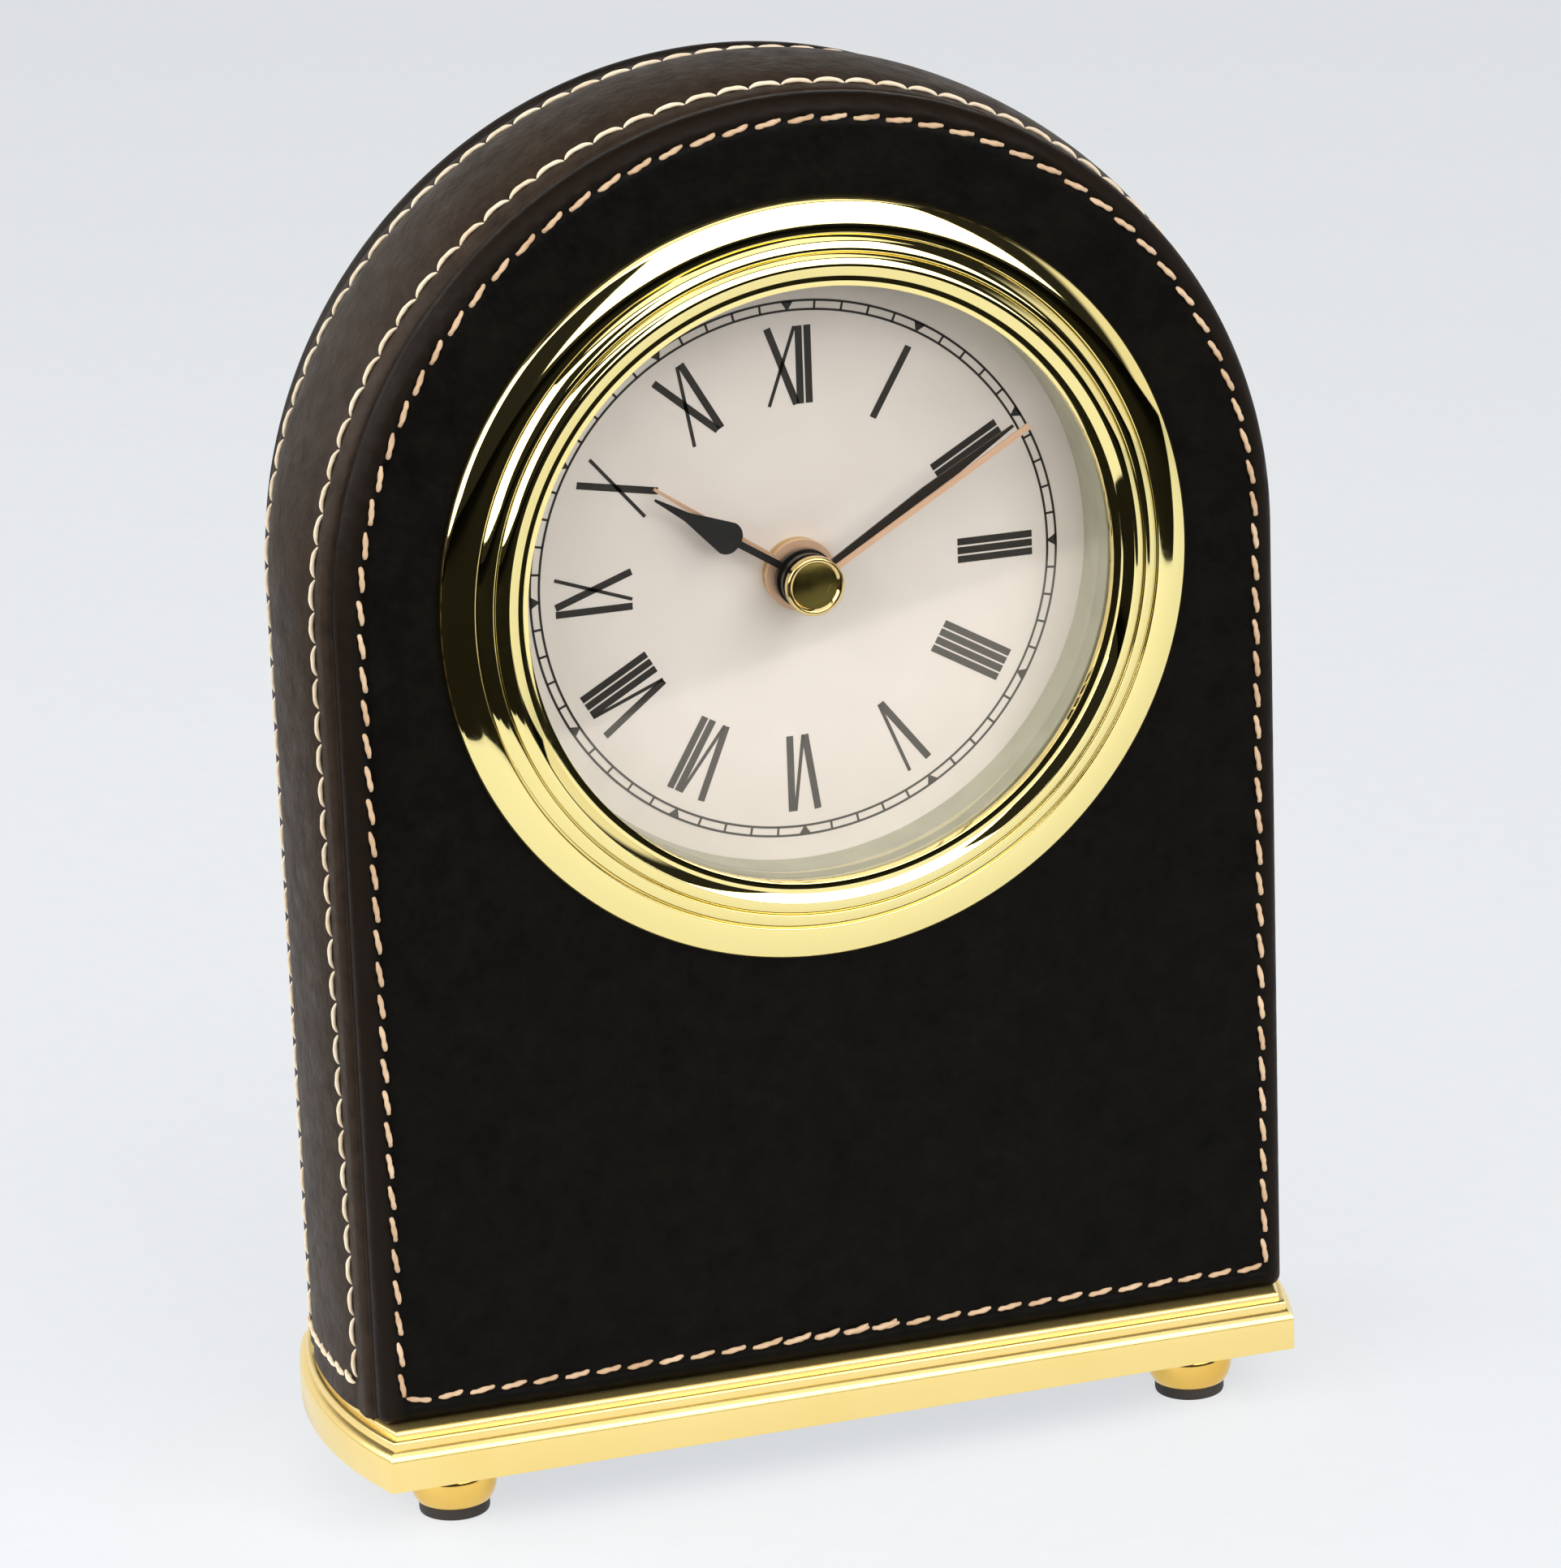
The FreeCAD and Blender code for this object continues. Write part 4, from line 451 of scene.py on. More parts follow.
def polished(name, colour, deep, shine, wear, metallic=1.0):
    """Polished, lacquered metal with a faint haze and fine scratches."""
    look = Look(name, colour, shine, metallic)
    look.colour(look.noise(14.0, 3.0), [(0.3, deep), (0.7, colour)])
    look.roughness(look.noise(1.1, 6.0, 0.7), shine, shine + wear)
    look.normal(look.bump(look.noise(9.0, 2.0, 0.5), 0.002, 0.15))
    return look


def plain(name, colour, deep, roughness, metallic=0.0, grain=0.6, height=0.01):
    """Moulded or painted stuff with fine grain and uneven gloss."""
    look = Look(name, colour, roughness, metallic)
    look.colour(look.noise(5.0, 4.0), [(0.3, deep), (0.7, colour)])
    look.roughness(look.noise(1.7, 5.0, 0.6), roughness - 0.05, roughness + 0.08)
    look.normal(look.bump(look.noise(grain, 3.0), height, 0.5))
    return look


# For each slot: dark colour, light colour, roughness, grain in millimetres, gloss and edge colour, which is
# the painted highlight on the front's rolled edge
LEATHERS = {
    "front_leather": ((0.0008, 0.0007, 0.0005), (0.0054, 0.0041, 0.0025), 0.42, 1.2, 0.07,
                      (0.0110, 0.0072, 0.0050)),
    # The side band is the front's leather painted lighter, standing in for the light that falls on the sides:
    # painted light.
    "side_leather": ((0.020, 0.0130, 0.0088), (0.049, 0.0325, 0.0220), 0.48, 0.9, 0.12),
    "back_leather": ((0.007, 0.005, 0.0035), (0.020, 0.0135, 0.0095), 0.5, 0.9, 0.2),
}
# Colour, deeper colour, roughness, wear, and how metallic where it isn't wholly so
METALS = {
    "gold_bezel": ((1.0, 0.86, 0.38), (0.99, 0.84, 0.35), 0.02, 0.03),
    "gold_base": ((1.0, 0.78, 0.31), (0.98, 0.74, 0.27), 0.19, 0.05, 0.88),
    "gold_foot": ((0.96, 0.65, 0.17), (0.86, 0.52, 0.11), 0.08, 0.06),
    "cap_metal": ((0.95, 0.74, 0.34), (0.86, 0.64, 0.26), 0.03, 0.04),
    "steel_screw": ((0.62, 0.62, 0.63), (0.50, 0.50, 0.52), 0.26, 0.12),
    "zinc_ring": ((0.58, 0.59, 0.61), (0.46, 0.47, 0.50), 0.34, 0.14),
    "bush_brass": ((0.80, 0.62, 0.30), (0.66, 0.48, 0.20), 0.20, 0.10),
    "pipe_metal": ((0.66, 0.66, 0.64), (0.54, 0.54, 0.52), 0.20, 0.10),
    "crystal_can": ((0.66, 0.66, 0.66), (0.55, 0.55, 0.55), 0.22, 0.10),
    "buzzer_brass": ((0.80, 0.62, 0.30), (0.68, 0.50, 0.22), 0.26, 0.12),
    "contact_steel": ((0.70, 0.69, 0.66), (0.58, 0.57, 0.54), 0.22, 0.10),
}
# Colour, deeper colour, roughness, and then how metallic, grain size and grain height where they matter
PLAINS = {
    "copper_hand": ((0.86, 0.57, 0.38), (0.82, 0.53, 0.35), 0.36, 0.5, 0.3, 0.002),
    "black_hand": ((0.007, 0.007, 0.006), (0.004, 0.004, 0.004), 0.34),
    "grey_ring": ((0.50, 0.50, 0.38), (0.42, 0.42, 0.31), 0.34, 0.35),
    "dial_card": ((0.80, 0.74, 0.69), (0.77, 0.71, 0.66), 0.62, 0.0, 0.25, 0.004),
    "pad_rubber": ((0.030, 0.022, 0.016), (0.016, 0.012, 0.009), 0.62),
    "board_wood": ((0.36, 0.24, 0.14), (0.24, 0.15, 0.085), 0.75, 0.0, 0.5, 0.05),
    "black_steel": ((0.022, 0.022, 0.024), (0.014, 0.014, 0.015), 0.48, 0.3),
    "case_plastic": ((0.030, 0.030, 0.032), (0.018, 0.018, 0.020), 0.42, 0.0, 0.35, 0.02),
    "plate_plastic": ((0.70, 0.69, 0.65), (0.60, 0.59, 0.55), 0.45),
    "wheel_plastic": ((0.78, 0.77, 0.74), (0.68, 0.67, 0.63), 0.38),
    "rotor_magnet": ((0.10, 0.10, 0.11), (0.06, 0.06, 0.07), 0.30, 0.8),
    "stator_steel": ((0.42, 0.42, 0.44), (0.32, 0.32, 0.34), 0.35, 1.0),
    "coil_copper": ((0.62, 0.26, 0.12), (0.45, 0.17, 0.07), 0.34, 0.9, 0.2, 0.05),
    "board_green": ((0.030, 0.14, 0.05), (0.020, 0.09, 0.03), 0.42),
    "battery_sleeve": ((0.10, 0.11, 0.12), (0.06, 0.065, 0.07), 0.34, 0.4),
    "knob_plastic": ((0.035, 0.035, 0.037), (0.020, 0.020, 0.022), 0.38),
    "switch_plastic": ((0.60, 0.59, 0.56), (0.50, 0.49, 0.46), 0.45),
    "front_thread": ((0.74, 0.54, 0.36), (0.52, 0.33, 0.19), 0.68, 0.0, 0.12, 0.03),
    "side_thread": ((0.92, 0.82, 0.64), (0.80, 0.62, 0.42), 0.62, 0.0, 0.12, 0.03),
    "dial_ink": ((0.016, 0.013, 0.009), (0.010, 0.008, 0.006), 0.5, 0.0, 0.3, 0.002),
}
looks = {}
for make_look, kind in ((leather, LEATHERS), (polished, METALS), (plain, PLAINS)):
    for slot, values in kind.items():
        looks[slot] = make_look(slot + "_look", *values)

# The cap's face is its brass painted dark olive, standing in for the dark it mirrors: a painted reflection.
cap_face_look = polished("cap_face_look", (0.15, 0.122, 0.030), (0.09, 0.072, 0.018), 0.18, 0.10)

# The flat front glass keeps a thin even reflection and lets the light through.
glass = Look("lens_glass_look", (1.0, 0.91, 0.78), 0.02, 1.0)
glass.roughness(glass.noise(20.0, 3.0), 0.01, 0.05)
glass.normal(glass.bump(glass.noise(25.0, 2.0), 0.01, 0.2))
glass.shader.inputs["Alpha"].default_value = 0.06
looks["lens_glass"] = glass

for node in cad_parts.values():
    for k, old in enumerate(node.data.materials):
        node.data.materials[k] = looks[old.name.split(".")[0]].material


def made_of(slot):
    """The material for one of the part's material slots."""
    return looks[slot].material


# Leather panels and side band

def bezel_hole(x, z):
    """The point of the round hole straight towards the bezel's middle."""
    away = Vector((x, z - BEZEL_Z)).normalized()
    return away.x * BEZEL_HOLE_RADIUS, BEZEL_Z + away.y * BEZEL_HOLE_RADIUS


def back_hole(x, z):
    """The point of the rounded square hole towards the movement's middle."""
    away = Vector((x, z - DIAL_Z)).normalized()
    reach = BACK_HOLE_HALF / max(abs(away.x), abs(away.y))
    px, pz = abs(away.x) * reach, abs(away.y) * reach
    inner = BACK_HOLE_HALF - BACK_HOLE_CORNER
    if px > inner and pz > inner:
        middle = Vector((inner, inner))
        line = Vector((abs(away.x), abs(away.y)))
        along = line.dot(middle)
        inside = along ** 2 - middle.length_squared + BACK_HOLE_CORNER ** 2
        reach = along + math.sqrt(max(inside, 0.0))
    return away.x * reach, DIAL_Z + away.y * reach


front_panel = leather_panel("front_leather_cover", 0.0, PANEL_THICKNESS, bezel_hole,
                            made_of("front_leather"), pulls=0.2)
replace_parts(front_panel, "front_leather")
back_panel = leather_panel("back_leather_cover", BACK_FACE, BACK_FRONT, back_hole,
                           made_of("back_leather"), pulls=0.05)
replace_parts(back_panel, "back_leather")


def side_section():
    """The band's section as (inward offset, depth) from the front edge to the back edge."""
    roll = LEATHER_SHEET
    turned_in = 3.4
    roll_steps = 5
    steps = 56
    section = [(turned_in, SIDE_FRONT - EDGE_STEP), (roll + 0.1, SIDE_FRONT - EDGE_STEP), (roll, SIDE_FRONT)]
    for k in range(roll_steps + 1):
        angle = math.pi / 2 * k / roll_steps
        section.append((roll * (1 - math.sin(angle)), SIDE_FRONT + roll * (1 - math.cos(angle))))
    for k in range(1, steps):
        section.append((0.0, SIDE_FRONT + roll + (SIDE_BACK - SIDE_FRONT - 2 * roll) * k / steps))
    for k in range(roll_steps + 1):
        angle = math.pi / 2 * (1 - k / roll_steps)
        section.append((roll * (1 - math.sin(angle)), SIDE_BACK - roll * (1 - math.cos(angle))))
    section += [(roll + 0.1, SIDE_BACK + EDGE_STEP), (turned_in, SIDE_BACK + EDGE_STEP)]
    return section


side_line = ArchLine(SIDE_HALF_WIDTH, ARCH_Z, CASE_BOTTOM)


def make_side():
    """The leather band up one side, over the top and down the other."""
    section = side_section()
    steps = 520
    points = []
    for k in range(steps + 1):
        distance = side_line.length * k / steps
        for inward, depth in section:
            dip = 0.0
            for row in (SIDE_ROW_FRONT, SIDE_ROW_BACK):
                dip += groove(depth - row, 0.14, GROOVE_WIDTH) + groove(depth - row, 0.3, HOLLOW_WIDTH)
            points.append(side_place(side_line, distance, depth, -inward - dip)[0])
    count = len(section)
    faces = ring_faces(steps + 1, count, closed_around=False)
    return mesh_piece("side_leather_cover", points, faces, made_of("side_leather"),
                      smooth=50.0)


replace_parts(make_side(), "side_leather")

# Front seam: straight twisted dashes, square to the face
front_row = ArchLine(PANEL_HALF_WIDTH - STITCH_MARGIN, BEZEL_Z, CASE_BOTTOM + STITCH_MARGIN + 0.6)
front_seam = Thread()
FORWARD = Vector((0.0, -1.0, 0.0))
RIGHTWARD = Vector((1.0, 0.0, 0.0))
FRONT_THREAD = 0.6
FRONT_LIFT = 0.2
FRONT_SINK = 0.12
count = round(front_row.length / STITCH_PITCH)
pitch = front_row.length / count
for k in range(count):
    (x, z), (tx, tz) = front_row.point((k + 0.5) * pitch)
    slant = 0.24 + random.uniform(-0.03, 0.03)
    front_seam.stitch(at(x, FRONT_SINK, z), Vector((tx, 0.0, tz)), FORWARD,
                      length=3.35 + random.uniform(-0.12, 0.12), thick=FRONT_THREAD, lift=FRONT_LIFT,
                      bow=0.0, slant=slant, pinch=3.5)
bottom_half = front_row.half_width
bottom_z = front_row.bottom_z
count = round(2 * bottom_half / STITCH_PITCH)
pitch = 2 * bottom_half / count
for k in range(count):
    x = -bottom_half + (k + 0.5) * pitch
    slant = 0.22 + random.uniform(-0.03, 0.03) if k else -0.35
    front_seam.stitch(at(x, FRONT_SINK, bottom_z), RIGHTWARD, FORWARD,
                      length=3.4 + random.uniform(-0.12, 0.12), thick=FRONT_THREAD, lift=FRONT_LIFT,
                      bow=0.0, slant=slant, pinch=3.5)
# The ends of the thread were sewn over twice near the middle of the bottom row.
DOUBLED_STITCHES = 5
DOUBLED_START = -9.0
DOUBLED_PITCH_SHARE = 0.93
for k in range(DOUBLED_STITCHES):
    x = DOUBLED_START + k * DOUBLED_PITCH_SHARE * pitch
    front_seam.stitch(at(x, -0.1, bottom_z + 0.25), RIGHTWARD, FORWARD,
                      length=3.3, thick=FRONT_THREAD, lift=0.3, bow=0.0, slant=0.3)
front_seam.piece("front_seam_thread", made_of("front_thread"), "front_leather")

# Side seams: cream arcs that touch end to end
side_seam = Thread()
SIDE_ROW_END = 18.2
BOTTOM_ROW_Z = 18.0
BOTTOM_ROW_PITCH = 2.9
side_stitches = ArchLine(SIDE_HALF_WIDTH, ARCH_Z, SIDE_ROW_END)
count = round(side_stitches.length / STITCH_PITCH)
pitch = side_stitches.length / count
for depth in (SIDE_ROW_FRONT, SIDE_ROW_BACK):
    for k in range(count):
        point, along, out = side_place(side_stitches, (k + 0.5) * pitch, depth, -0.4)
        side_seam.stitch(point, along, out, length=pitch * 1.02, thick=0.54, lift=0.24,
                         bow=0.42, slant=-0.12, dip=0.25, twist=0.08, pinch=2.6)
# A row of short twisted stitches joins them along the bottom of each side.
count = round((SIDE_ROW_BACK - SIDE_ROW_FRONT) / BOTTOM_ROW_PITCH)
pitch = (SIDE_ROW_BACK - SIDE_ROW_FRONT) / count
for side in (-1.0, 1.0):
    for k in range(count):
        depth = SIDE_ROW_FRONT + (k + 0.5) * pitch
        lean = (depth - SIDE_MIDDLE) / SIDE_BULGE_RADIUS
        point = at(side * (side_reach(depth) - 0.2), depth, BOTTOM_ROW_Z)
        side_seam.stitch(point, -FORWARD, Vector((side, lean, 0.0)),
                         length=pitch * 1.02, thick=0.7, lift=0.22, bow=0.0, slant=side * 0.36,
                         dip=0.2, pinch=3.0)
side_seam.piece("side_seam_thread", made_of("side_thread"), "side_leather")


# Bezel, lens, inner ring and dial

BEZEL_MIDDLE = at(0.0, 0.0, BEZEL_Z)
BEZEL_RADIUS = 45.0
BEZEL_SKIRT_RADIUS = 40.8
BEZEL_ROUND = 0.9
LIP_RADIUS = 35.18
LENS_RADIUS = 38.0
LENS_FRONT = -1.70
LENS_BACK = -0.25
LENS_CHAMFER = 0.1
LENS_CHAMFER_DEPTH = 0.08
LIP_GAP = 0.03
RING_RADIUS = 35.5
RING_FRONT = LENS_BACK + 0.02


def make_bezel():
    """The gold bezel: three rounded steps that rise inwards, a slope and the lip over the lens."""
    # Each stretch is (radius, depth) points, and a round one has its centre, radius and angles.
    edge = [(BEZEL_RADIUS, 0.0)]
    edge += arc((BEZEL_RADIUS - BEZEL_ROUND, -0.35), BEZEL_ROUND, 0.0, -65.0, 12)
    outer_ring = arc((41.18, 5.9), 7.8, -65.5, -90.0, 16)
    outer_groove = arc((41.16, -1.7), 0.2, -98.0, -180.0, 6) + [(40.96, -1.5), (40.9, -1.5)]
    middle_ring = [(40.88, -1.9)] + arc((39.28, -0.78), 1.95, -36.0, -90.0, 16)
    middle_groove = arc((39.26, -2.55), 0.18, -98.0, -180.0, 6) + [(39.08, -2.3), (39.02, -2.3)]
    inner_ring = [(39.0, -2.62)] + arc((37.6, -1.67), 1.71, -36.0, -90.0, 16)
    slope = arc((37.55, -3.08), 0.3, -95.0, -112.0, 4) + [(36.42, -2.9)]
    seat_depth = LENS_FRONT - LIP_GAP
    lip = [(36.36, -2.85), (35.3, -2.89), (35.21, -2.85), (LIP_RADIUS, -2.76), (LIP_RADIUS, seat_depth)]
    skirt = [(LENS_RADIUS, seat_depth), (LENS_RADIUS, DIAL_FACE)]
    skirt += [(BEZEL_SKIRT_RADIUS, DIAL_FACE), (BEZEL_SKIRT_RADIUS, 0.0)]
    profile = edge + outer_ring + outer_groove + middle_ring + middle_groove + inner_ring
    profile += slope + lip + skirt
    return lathe("bezel_ring", profile, BEZEL_MIDDLE, "y", made_of("gold_bezel"), steps=420)


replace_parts(make_bezel(), "bezel")

lens_edge = LENS_RADIUS - LENS_CHAMFER
lens_profile = [(0.0, LENS_FRONT), (lens_edge, LENS_FRONT), (LENS_RADIUS, LENS_FRONT + LENS_CHAMFER_DEPTH)]
lens_profile += [(LENS_RADIUS, LENS_BACK - LENS_CHAMFER_DEPTH), (lens_edge, LENS_BACK), (0.0, LENS_BACK)]
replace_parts(lathe("lens_disc", lens_profile, BEZEL_MIDDLE, "y",
                  made_of("lens_glass"), closed=False), "lens")

ring_profile = [(RING_RADIUS, RING_FRONT + 0.03), (RING_RADIUS + 0.08, RING_FRONT), (LENS_RADIUS, RING_FRONT)]
ring_profile += [(LENS_RADIUS, DIAL_FACE), (RING_RADIUS + 0.1, DIAL_FACE), (RING_RADIUS, DIAL_FACE - 0.1)]
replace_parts(lathe("inner_ring_band", ring_profile, BEZEL_MIDDLE, "y",
                  made_of("grey_ring"), steps=360), "inner_ring")


# Print on the dial: minute track, hour wedges and Roman numerals
TRACK_OUTER = 31.97
TRACK_INNER = 30.9
TRACK_LINE = 0.28
PRINT_RISE = 0.03
WEDGE_HALF_WIDTH = 0.76
NUMERAL_FOOT = 19.8
NUMERAL_TOP = 29.0
THICK = 0.85
THIN = 0.42
LETTER_WIDTHS = {"I": 1.06, "V": 2.95, "X": 3.55}
NUMERALS = ("XII", "I", "II", "III", "IIII", "V", "VI", "VII", "VIII", "IX", "X", "XI")


class Print:
    """Flat printed shapes that stand a hair proud of the dial."""

    def __init__(self):
        self.points = []
        self.faces = []

    def shape(self, corners):
        """A flat shape from (x, height) corners round the dial's middle."""
        first = len(self.points)
        for x, height in corners:
            self.points.append(at(x, DIAL_FACE - PRINT_RISE, DIAL_Z + height))
        self.faces.append(tuple(range(first, first + len(corners))))

    def ring(self, outer, inner, steps=240):
        """A thin printed circle."""
        for k in range(steps):
            a = 2 * math.pi * k / steps
            b = 2 * math.pi * (k + 1) / steps
            self.shape([polar(outer, a), polar(outer, b), polar(inner, b), polar(inner, a)])

    def stroke(self, turn, start, end, width):
        """A straight stroke of a numeral, from (sideways, outward) to (sideways, outward)."""
        sx, sy = start
        ex, ey = end
        length = math.hypot(ex - sx, ey - sy)
        nx, ny = (ey - sy) / length * width / 2, -(ex - sx) / length * width / 2
        corners = [(sx + nx, sy + ny), (ex + nx, ey + ny), (ex - nx, ey - ny), (sx - nx, sy - ny)]
        self.shape([turned(x, y, turn) for x, y in corners])


def polar(radius, turn):
    """The point at a clockwise turn from twelve o'clock."""
    return radius * math.sin(turn), radius * math.cos(turn)


def turned(x, y, turn):
    """A point near twelve o'clock carried round the dial by a clockwise turn."""
    return x * math.cos(turn) + y * math.sin(turn), -x * math.sin(turn) + y * math.cos(turn)


def numeral_strokes(text):
    """The strokes of a numeral as (start, end, width), centred on its own middle."""
    strokes = []
    cursor = 0.0
    for letter in text:
        width = LETTER_WIDTHS[letter]
        if letter == "I":
            middle = cursor + width / 2
            strokes.append(((middle, NUMERAL_FOOT), (middle, NUMERAL_TOP), THICK))
        if letter == "V":
            left, right = cursor + 0.3, cursor + width + 0.2
            point = (left + right) / 2
            strokes.append(((left, NUMERAL_TOP), (point - 0.1, NUMERAL_FOOT), THICK))
            strokes.append(((point + 0.12, NUMERAL_FOOT), (right - 0.1, NUMERAL_TOP), THIN))
        if letter == "X":
            left, right = cursor + 0.3, cursor + width + 0.05
            strokes.append(((left, NUMERAL_TOP), (right, NUMERAL_FOOT), THICK))
            strokes.append(((right, NUMERAL_TOP), (left, NUMERAL_FOOT), THIN))
        cursor += width
    return [((a[0] - cursor / 2, a[1]), (b[0] - cursor / 2, b[1]), w) for a, b, w in strokes]


ink = Print()
ink.ring(TRACK_OUTER + TRACK_LINE / 2, TRACK_OUTER - TRACK_LINE / 2)
ink.ring(TRACK_INNER + TRACK_LINE / 2, TRACK_INNER - TRACK_LINE / 2)
for minute in range(60):
    turn = 2 * math.pi * minute / 60
    if minute % 5:
        ink.stroke(turn, (0.0, TRACK_INNER), (0.0, TRACK_OUTER), TRACK_LINE)
    else:
        wedge = [(-WEDGE_HALF_WIDTH, TRACK_OUTER), (WEDGE_HALF_WIDTH, TRACK_OUTER), (0.0, TRACK_INNER - 0.1)]
        ink.shape([turned(x, y, turn) for x, y in wedge])
for hour, text in enumerate(NUMERALS):
    for start, end, width in numeral_strokes(text):
        ink.stroke(2 * math.pi * hour / 12, start, end, width)
mesh_piece("dial_print", ink.points, ink.faces, made_of("dial_ink"))


# Base, feet and pads
BASE_Y = 0.8
BASE_HALF_DEPTH = 20.8
BASE_RADIUS = 60.2
BASE_BOTTOM = 7.2
BASE_BLOCK_TOP = 10.8
BASE_BEAD_Z = 12.85
BASE_STEP_Z = 13.6


def base_loop(inset, across=60, round_side=48):
    """The base's outline drawn in by an inset: straight front and back, curved sides."""
    radius = BASE_RADIUS - inset
    half = BASE_HALF_DEPTH - inset
    corner = math.sqrt(radius ** 2 - half ** 2)
    swing = math.asin(half / radius)
    loop = []
    for k in range(across):
        loop.append((-corner + 2 * corner * k / across, BASE_Y - half))
    for k in range(round_side):
        angle = -swing + 2 * swing * k / round_side
        loop.append((radius * math.cos(angle), BASE_Y + radius * math.sin(angle)))
    for k in range(across):
        loop.append((corner - 2 * corner * k / across, BASE_Y + half))
    for k in range(round_side):
        angle = math.pi - swing + 2 * swing * k / round_side
        loop.append((radius * math.cos(angle), BASE_Y + radius * math.sin(angle)))
    return loop


def make_base():
    """The gold base: a block with a rounded top edge, a bead and a step under the case."""
    # The profile is (inset from the outline, height).
    profile = [(4.0, BASE_BOTTOM), (0.3, BASE_BOTTOM), (0.08, BASE_BOTTOM + 0.08), (0.0, BASE_BOTTOM + 0.3)]
    profile += [(0.0, BASE_BLOCK_TOP - 0.1), (0.0, BASE_BLOCK_TOP)]
    profile += arc((1.5, BASE_BLOCK_TOP), 1.5, 175.0, 111.5, 9)
    profile += [(0.95, BASE_BEAD_Z)] + arc((1.35, BASE_BEAD_Z), 0.4, 165.0, 90.0, 5)
    profile += [(1.75, BASE_BEAD_Z + 0.4), (1.75, BASE_STEP_Z)]
    profile += arc((2.35, BASE_STEP_Z), 0.6, 165.0, 90.0, 6)
    profile += [(3.2, CASE_BOTTOM), (14.0, CASE_BOTTOM)]
    points = []
    for inset, z in profile:
        for x, y in base_loop(inset):
            points.append(Vector((x, y, z)) * MM)
    count = len(base_loop(0.0))
    faces = ring_faces(len(profile), count)
    return mesh_piece("base_block", points, faces, made_of("gold_base"))


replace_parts(make_base(), "base_plinth")

# The feet are flattened balls with a short neck, on rubber pads. Profiles are (radius, height).
PAD_TOP = 1.4
PAD_RADIUS = 4.2
NECK_RADIUS = 3.8
foot_profile = [(0.0, PAD_TOP), (PAD_RADIUS, PAD_TOP), (4.45, 1.62), (4.85, 2.3), (5.12, 3.2), (5.2, 4.15)]
foot_profile += [(5.1, 5.0), (4.82, 5.7), (4.4, 6.2), (3.95, 6.5), (NECK_RADIUS, 6.75)]
foot_profile += [(NECK_RADIUS, BASE_BOTTOM), (0.0, BASE_BOTTOM)]
pad_profile = [(0.0, 0.0), (PAD_RADIUS - 0.3, 0.0), (PAD_RADIUS - 0.08, 0.1), (PAD_RADIUS, 0.35)]
pad_profile += [(PAD_RADIUS, PAD_TOP), (0.0, PAD_TOP)]
for name in ("front_left", "front_right", "rear_left", "rear_right"):
    low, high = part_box("ball_foot_" + name)
    middle = (low + high) / 2
    middle.z = 0.0
    foot = lathe("foot_" + name, foot_profile, middle, "z", made_of("gold_foot"),
                 steps=96, closed=False)
    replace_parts(foot, "ball_foot_" + name)
    pad = lathe("pad_" + name, pad_profile, middle, "z", made_of("pad_rubber"),
                steps=96, closed=False)
    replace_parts(pad, "foot_pad_" + name)

# The cap over the hands: a raised bright rim round a flat mirror face, whose brass is painted dark olive as a
# painted reflection of the dark studio
cap_low, cap_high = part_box("hub_cap")
cap_radius = (cap_high.x - cap_low.x) / 2 / MM
cap_height = (cap_high.y - cap_low.y) / MM
cap_profile = [(0.0, 0.0), (cap_radius - 0.1, 0.0), (cap_radius, -0.1)]
cap_profile += arc((cap_radius - 0.3, 0.3 - cap_height), 0.3, 0.0, -90.0, 8)
cap_profile += arc((cap_radius - 0.42, 0.3 - cap_height), 0.3, -95.0, -130.0, 4)
cap_profile += [(cap_radius - 0.8, 0.28 - cap_height), (cap_radius - 0.8, 0.5 - cap_height),
                (0.0, 0.5 - cap_height)]
cap_middle = Vector(((cap_low.x + cap_high.x) / 2, cap_high.y, (cap_low.z + cap_high.z) / 2))
cap = lathe("cap_turned", cap_profile, cap_middle, "y", made_of("cap_metal"),
            body="seconds", steps=120, closed=False)
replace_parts(cap, "hub_cap")
face_profile = [(0.0, 0.45 - cap_height), (cap_radius - 0.85, 0.45 - cap_height),
                (cap_radius - 0.81, 0.34 - cap_height), (cap_radius - 0.95, 0.29 - cap_height),
                (0.0, 0.25 - cap_height)]
lathe("cap_face", face_profile, cap_middle, "y", cap_face_look.material,
      body="seconds", steps=120, closed=False)

# Small bevels catch the light on the hands.
for name in ("second_hand", "minute_hand", "hour_hand", "alarm_hand"):
    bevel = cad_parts[name].modifiers.new("edge", "BEVEL")
    bevel.width = 0.06 * MM
    bevel.segments = 3
    bevel.limit_method = "ANGLE"
    bevel.angle_limit = math.radians(40.0)


# Camera at the photograph's angle
AZIMUTH = math.radians(-17.616062)
ELEVATION = math.radians(17.702318)
ROLL = math.radians(-2.052080)
DISTANCE = 780.458867
FOCAL_PIXELS = 8346.326
PHOTO_WIDTH = 1923
SENSOR = 36.0
target = Vector((-5.2408, -17.2, 86.4081))
back = Vector((math.sin(AZIMUTH) * math.cos(ELEVATION), -math.cos(AZIMUTH) * math.cos(ELEVATION),
               math.sin(ELEVATION)))
right = Vector((0.0, 0.0, 1.0)).cross(back).normalized()
up = back.cross(right)
rolled_right = right * math.cos(ROLL) + up * math.sin(ROLL)
rolled_up = up * math.cos(ROLL) - right * math.sin(ROLL)
lens = bpy.data.cameras.new("photo_camera")
lens.sensor_fit = "HORIZONTAL"
lens.sensor_width = SENSOR
lens.lens = FOCAL_PIXELS / PHOTO_WIDTH * SENSOR
lens.clip_start = 0.01
lens.clip_end = 50.0
camera = bpy.data.objects.new("photo_camera", lens)
bpy.context.scene.collection.objects.link(camera)
turning = Matrix((rolled_right, rolled_up, back)).transposed().to_4x4()
camera.matrix_world = Matrix.Translation((target + back * DISTANCE) * MM) @ turning
bpy.context.scene.camera = camera


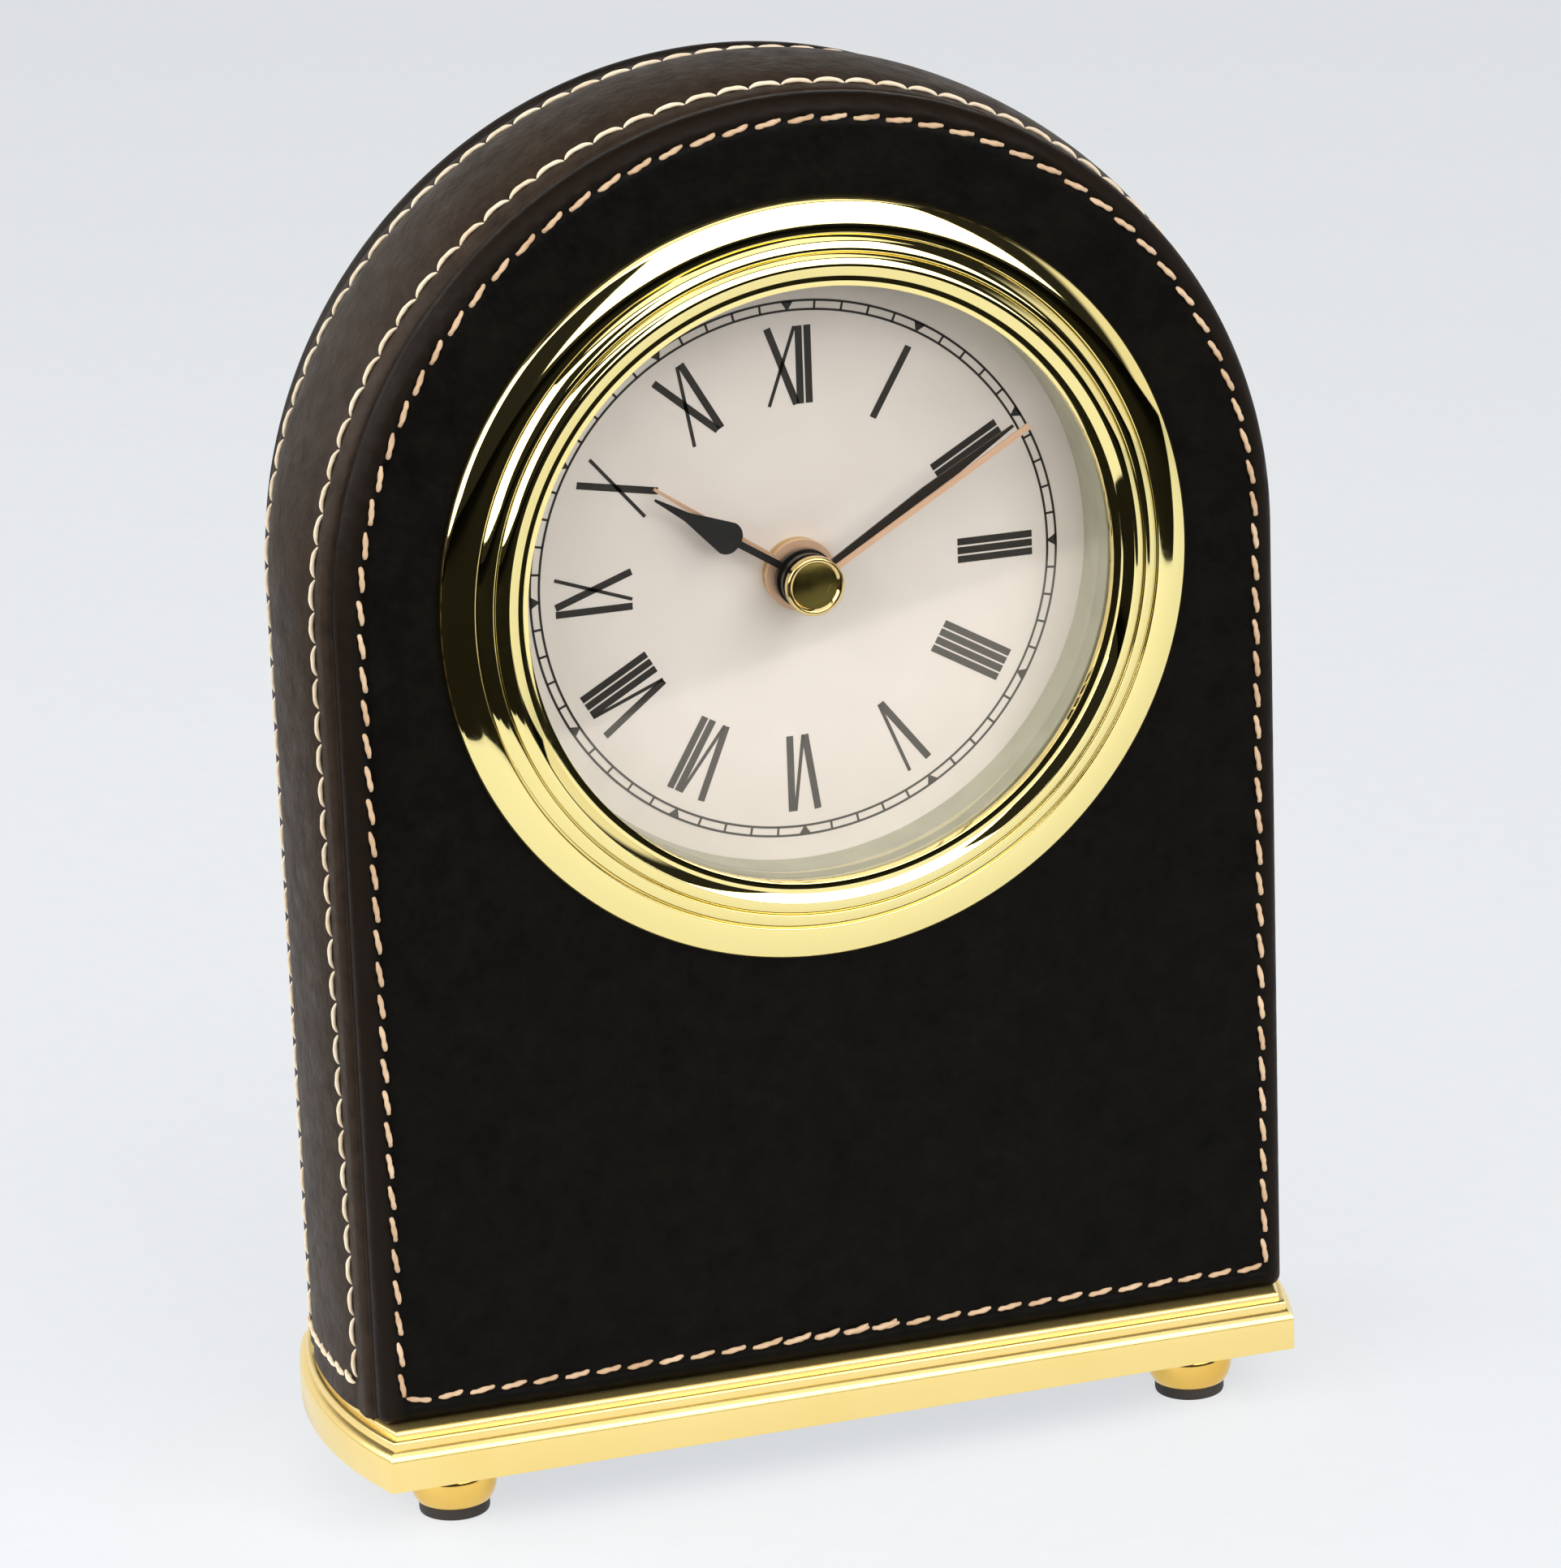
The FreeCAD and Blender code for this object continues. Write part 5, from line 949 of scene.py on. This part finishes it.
# Floor, cards and lights
def sheet(name, corners, look, seen=True):
    """A flat sheet of the studio, from its corners in millimetres."""
    mesh = bpy.data.meshes.new(name)
    mesh.from_pydata([Vector(c) * MM for c in corners], [], [tuple(range(len(corners)))])
    mesh.materials.append(look.material)
    panel = bpy.data.objects.new(name, mesh)
    bpy.context.scene.collection.objects.link(panel)
    panel.visible_camera = seen
    panel.visible_shadow = seen


FLOOR_HALF = 3000.0
CARD_HALF = 3100.0
CARD_Z = 2.0
CARD_REAR = 900.0
WARM_WHITE = (1.0, 0.98, 0.95)
floor_look = plain("floor_look", (0.24, 0.245, 0.25), (0.23, 0.235, 0.24), 0.8, 0.0, 30.0, 0.001)
floor_look.shader.inputs["Emission Color"].default_value = (0.93, 0.96, 1.0, 1.0)
floor_look.shader.inputs["Emission Strength"].default_value = 0.68
floor_corners = [(-1, -1), (1, -1), (1, 1), (-1, 1)]
sheet("floor", [(x * FLOOR_HALF, y * FLOOR_HALF, 0.0) for x, y in floor_corners], floor_look)
# Only the table near the clock and to its right is mirrored pale in the metal; the rest is dark.
dark_look = plain("dark_card_look", (0.010, 0.010, 0.008), (0.006, 0.006, 0.005), 0.9)
dark_look.shader.inputs["Specular IOR Level"].default_value = 0.0
# The card's inner edge runs round the pale patch, from the left rear to the right.
card_edge = [(-150, CARD_REAR), (-223, 160), (-185, 0), (-155, -118), (-60, -240), (70, -322), (179, -388)]
card_edge += [(299, -252), (478, -340), (2400, -1100)]
card_edge += [(CARD_HALF, -CARD_HALF), (-CARD_HALF, -CARD_HALF), (-CARD_HALF, CARD_REAR)]
sheet("dark_card", [(x, y, CARD_Z) for x, y in card_edge], dark_look, seen=False)


SOFTBOX_DISTANCE = 1000.0


def softbox(name, azimuths, heights, strength):
    """A curved white screen round the clock, between two azimuths and two elevations in degrees."""
    look = Look(name + "_look", (0.8, 0.8, 0.8), 0.9)
    look.shader.inputs["Emission Color"].default_value = (*WARM_WHITE, 1.0)
    look.shader.inputs["Emission Strength"].default_value = strength
    steps = 8
    for k in range(steps):
        corners = []
        for share, height in ((k, 0), (k + 1, 0), (k + 1, 1), (k, 1)):
            azimuth = math.radians(azimuths[0] + (azimuths[1] - azimuths[0]) * share / steps)
            elevation = math.radians(heights[height])
            corners.append((SOFTBOX_DISTANCE * math.sin(azimuth) * math.cos(elevation),
                            -SOFTBOX_DISTANCE * math.cos(azimuth) * math.cos(elevation),
                            BEZEL_Z + SOFTBOX_DISTANCE * math.sin(elevation)))
        sheet(f"{name}_{k}", corners, look, seen=False)


# The camera stands in the dark gap between the boxes.
softbox("left_softbox", (-125.0, -36.0), (3.0, 40.0), 3.0)
softbox("front_softbox", (-4.0, 37.0), (3.0, 40.0), 3.0)
softbox("high_softbox", (-36.0, -4.0), (30.0, 40.0), 3.0)
softbox("overhead_softbox", (-60.0, 60.0), (46.0, 75.0), 0.6)


# One soft square light from the upper right, which isn't mirrored in the metal
LIGHT_SIZE = 300.0
LIGHT_POWER = 1.6
light_place = Vector((430.0, -520.0, 660.0))
clock_middle = Vector((0.0, 0.0, 90.0))
light = bpy.data.lights.new("key_light", "AREA")
light.shape = "RECTANGLE"
light.size = LIGHT_SIZE * MM
light.size_y = LIGHT_SIZE * MM
light.energy = LIGHT_POWER
light.color = WARM_WHITE
key_light = bpy.data.objects.new("key_light", light)
bpy.context.scene.collection.objects.link(key_light)
key_light.visible_glossy = False
key_light.location = light_place * MM
key_light.rotation_euler = (light_place - clock_middle).to_track_quat("Z", "Y").to_euler()


def make_walls(tree):
    """Pale walls to the right and behind, dark walls in front and overhead."""
    pale, dark = 0.85, 0.02
    nodes, links = tree.nodes, tree.links
    place = nodes.new("ShaderNodeTexCoord").outputs["Generated"]
    split = nodes.new("ShaderNodeSeparateXYZ")
    links.new(place, split.inputs["Vector"])
    fades = []
    for axis, start, end, first, last in (
        ("X", 0.72, 0.80, 0.0, 1.0),
        ("Y", 0.30, 0.42, 0.0, 1.0),
        ("Z", 0.30, 0.55, 1.0, 0.0),
    ):
        fade = nodes.new("ShaderNodeMapRange")
        fade.interpolation_type = "SMOOTHSTEP"
        fade.inputs["From Min"].default_value = start
        fade.inputs["From Max"].default_value = end
        fade.inputs["To Min"].default_value = first
        fade.inputs["To Max"].default_value = last
        links.new(split.outputs[axis], fade.inputs["Value"])
        fades.append(fade.outputs["Result"])
    either = nodes.new("ShaderNodeMath")
    either.operation = "MAXIMUM"
    links.new(fades[0], either.inputs[0])
    links.new(fades[1], either.inputs[1])
    both = nodes.new("ShaderNodeMath")
    both.operation = "MULTIPLY"
    links.new(either.outputs[0], both.inputs[0])
    links.new(fades[2], both.inputs[1])
    strength = nodes.new("ShaderNodeMath")
    strength.operation = "MULTIPLY_ADD"
    strength.inputs[1].default_value = pale
    strength.inputs[2].default_value = dark
    links.new(both.outputs[0], strength.inputs[0])
    links.new(strength.outputs[0], nodes["Background"].inputs["Strength"])
    nodes["Background"].inputs["Color"].default_value = (*WARM_WHITE, 1.0)


world = bpy.data.worlds.new("studio")
bpy.context.scene.world = world
world.use_nodes = True
make_walls(world.node_tree)

bpy.context.scene.view_settings.view_transform = "Standard"
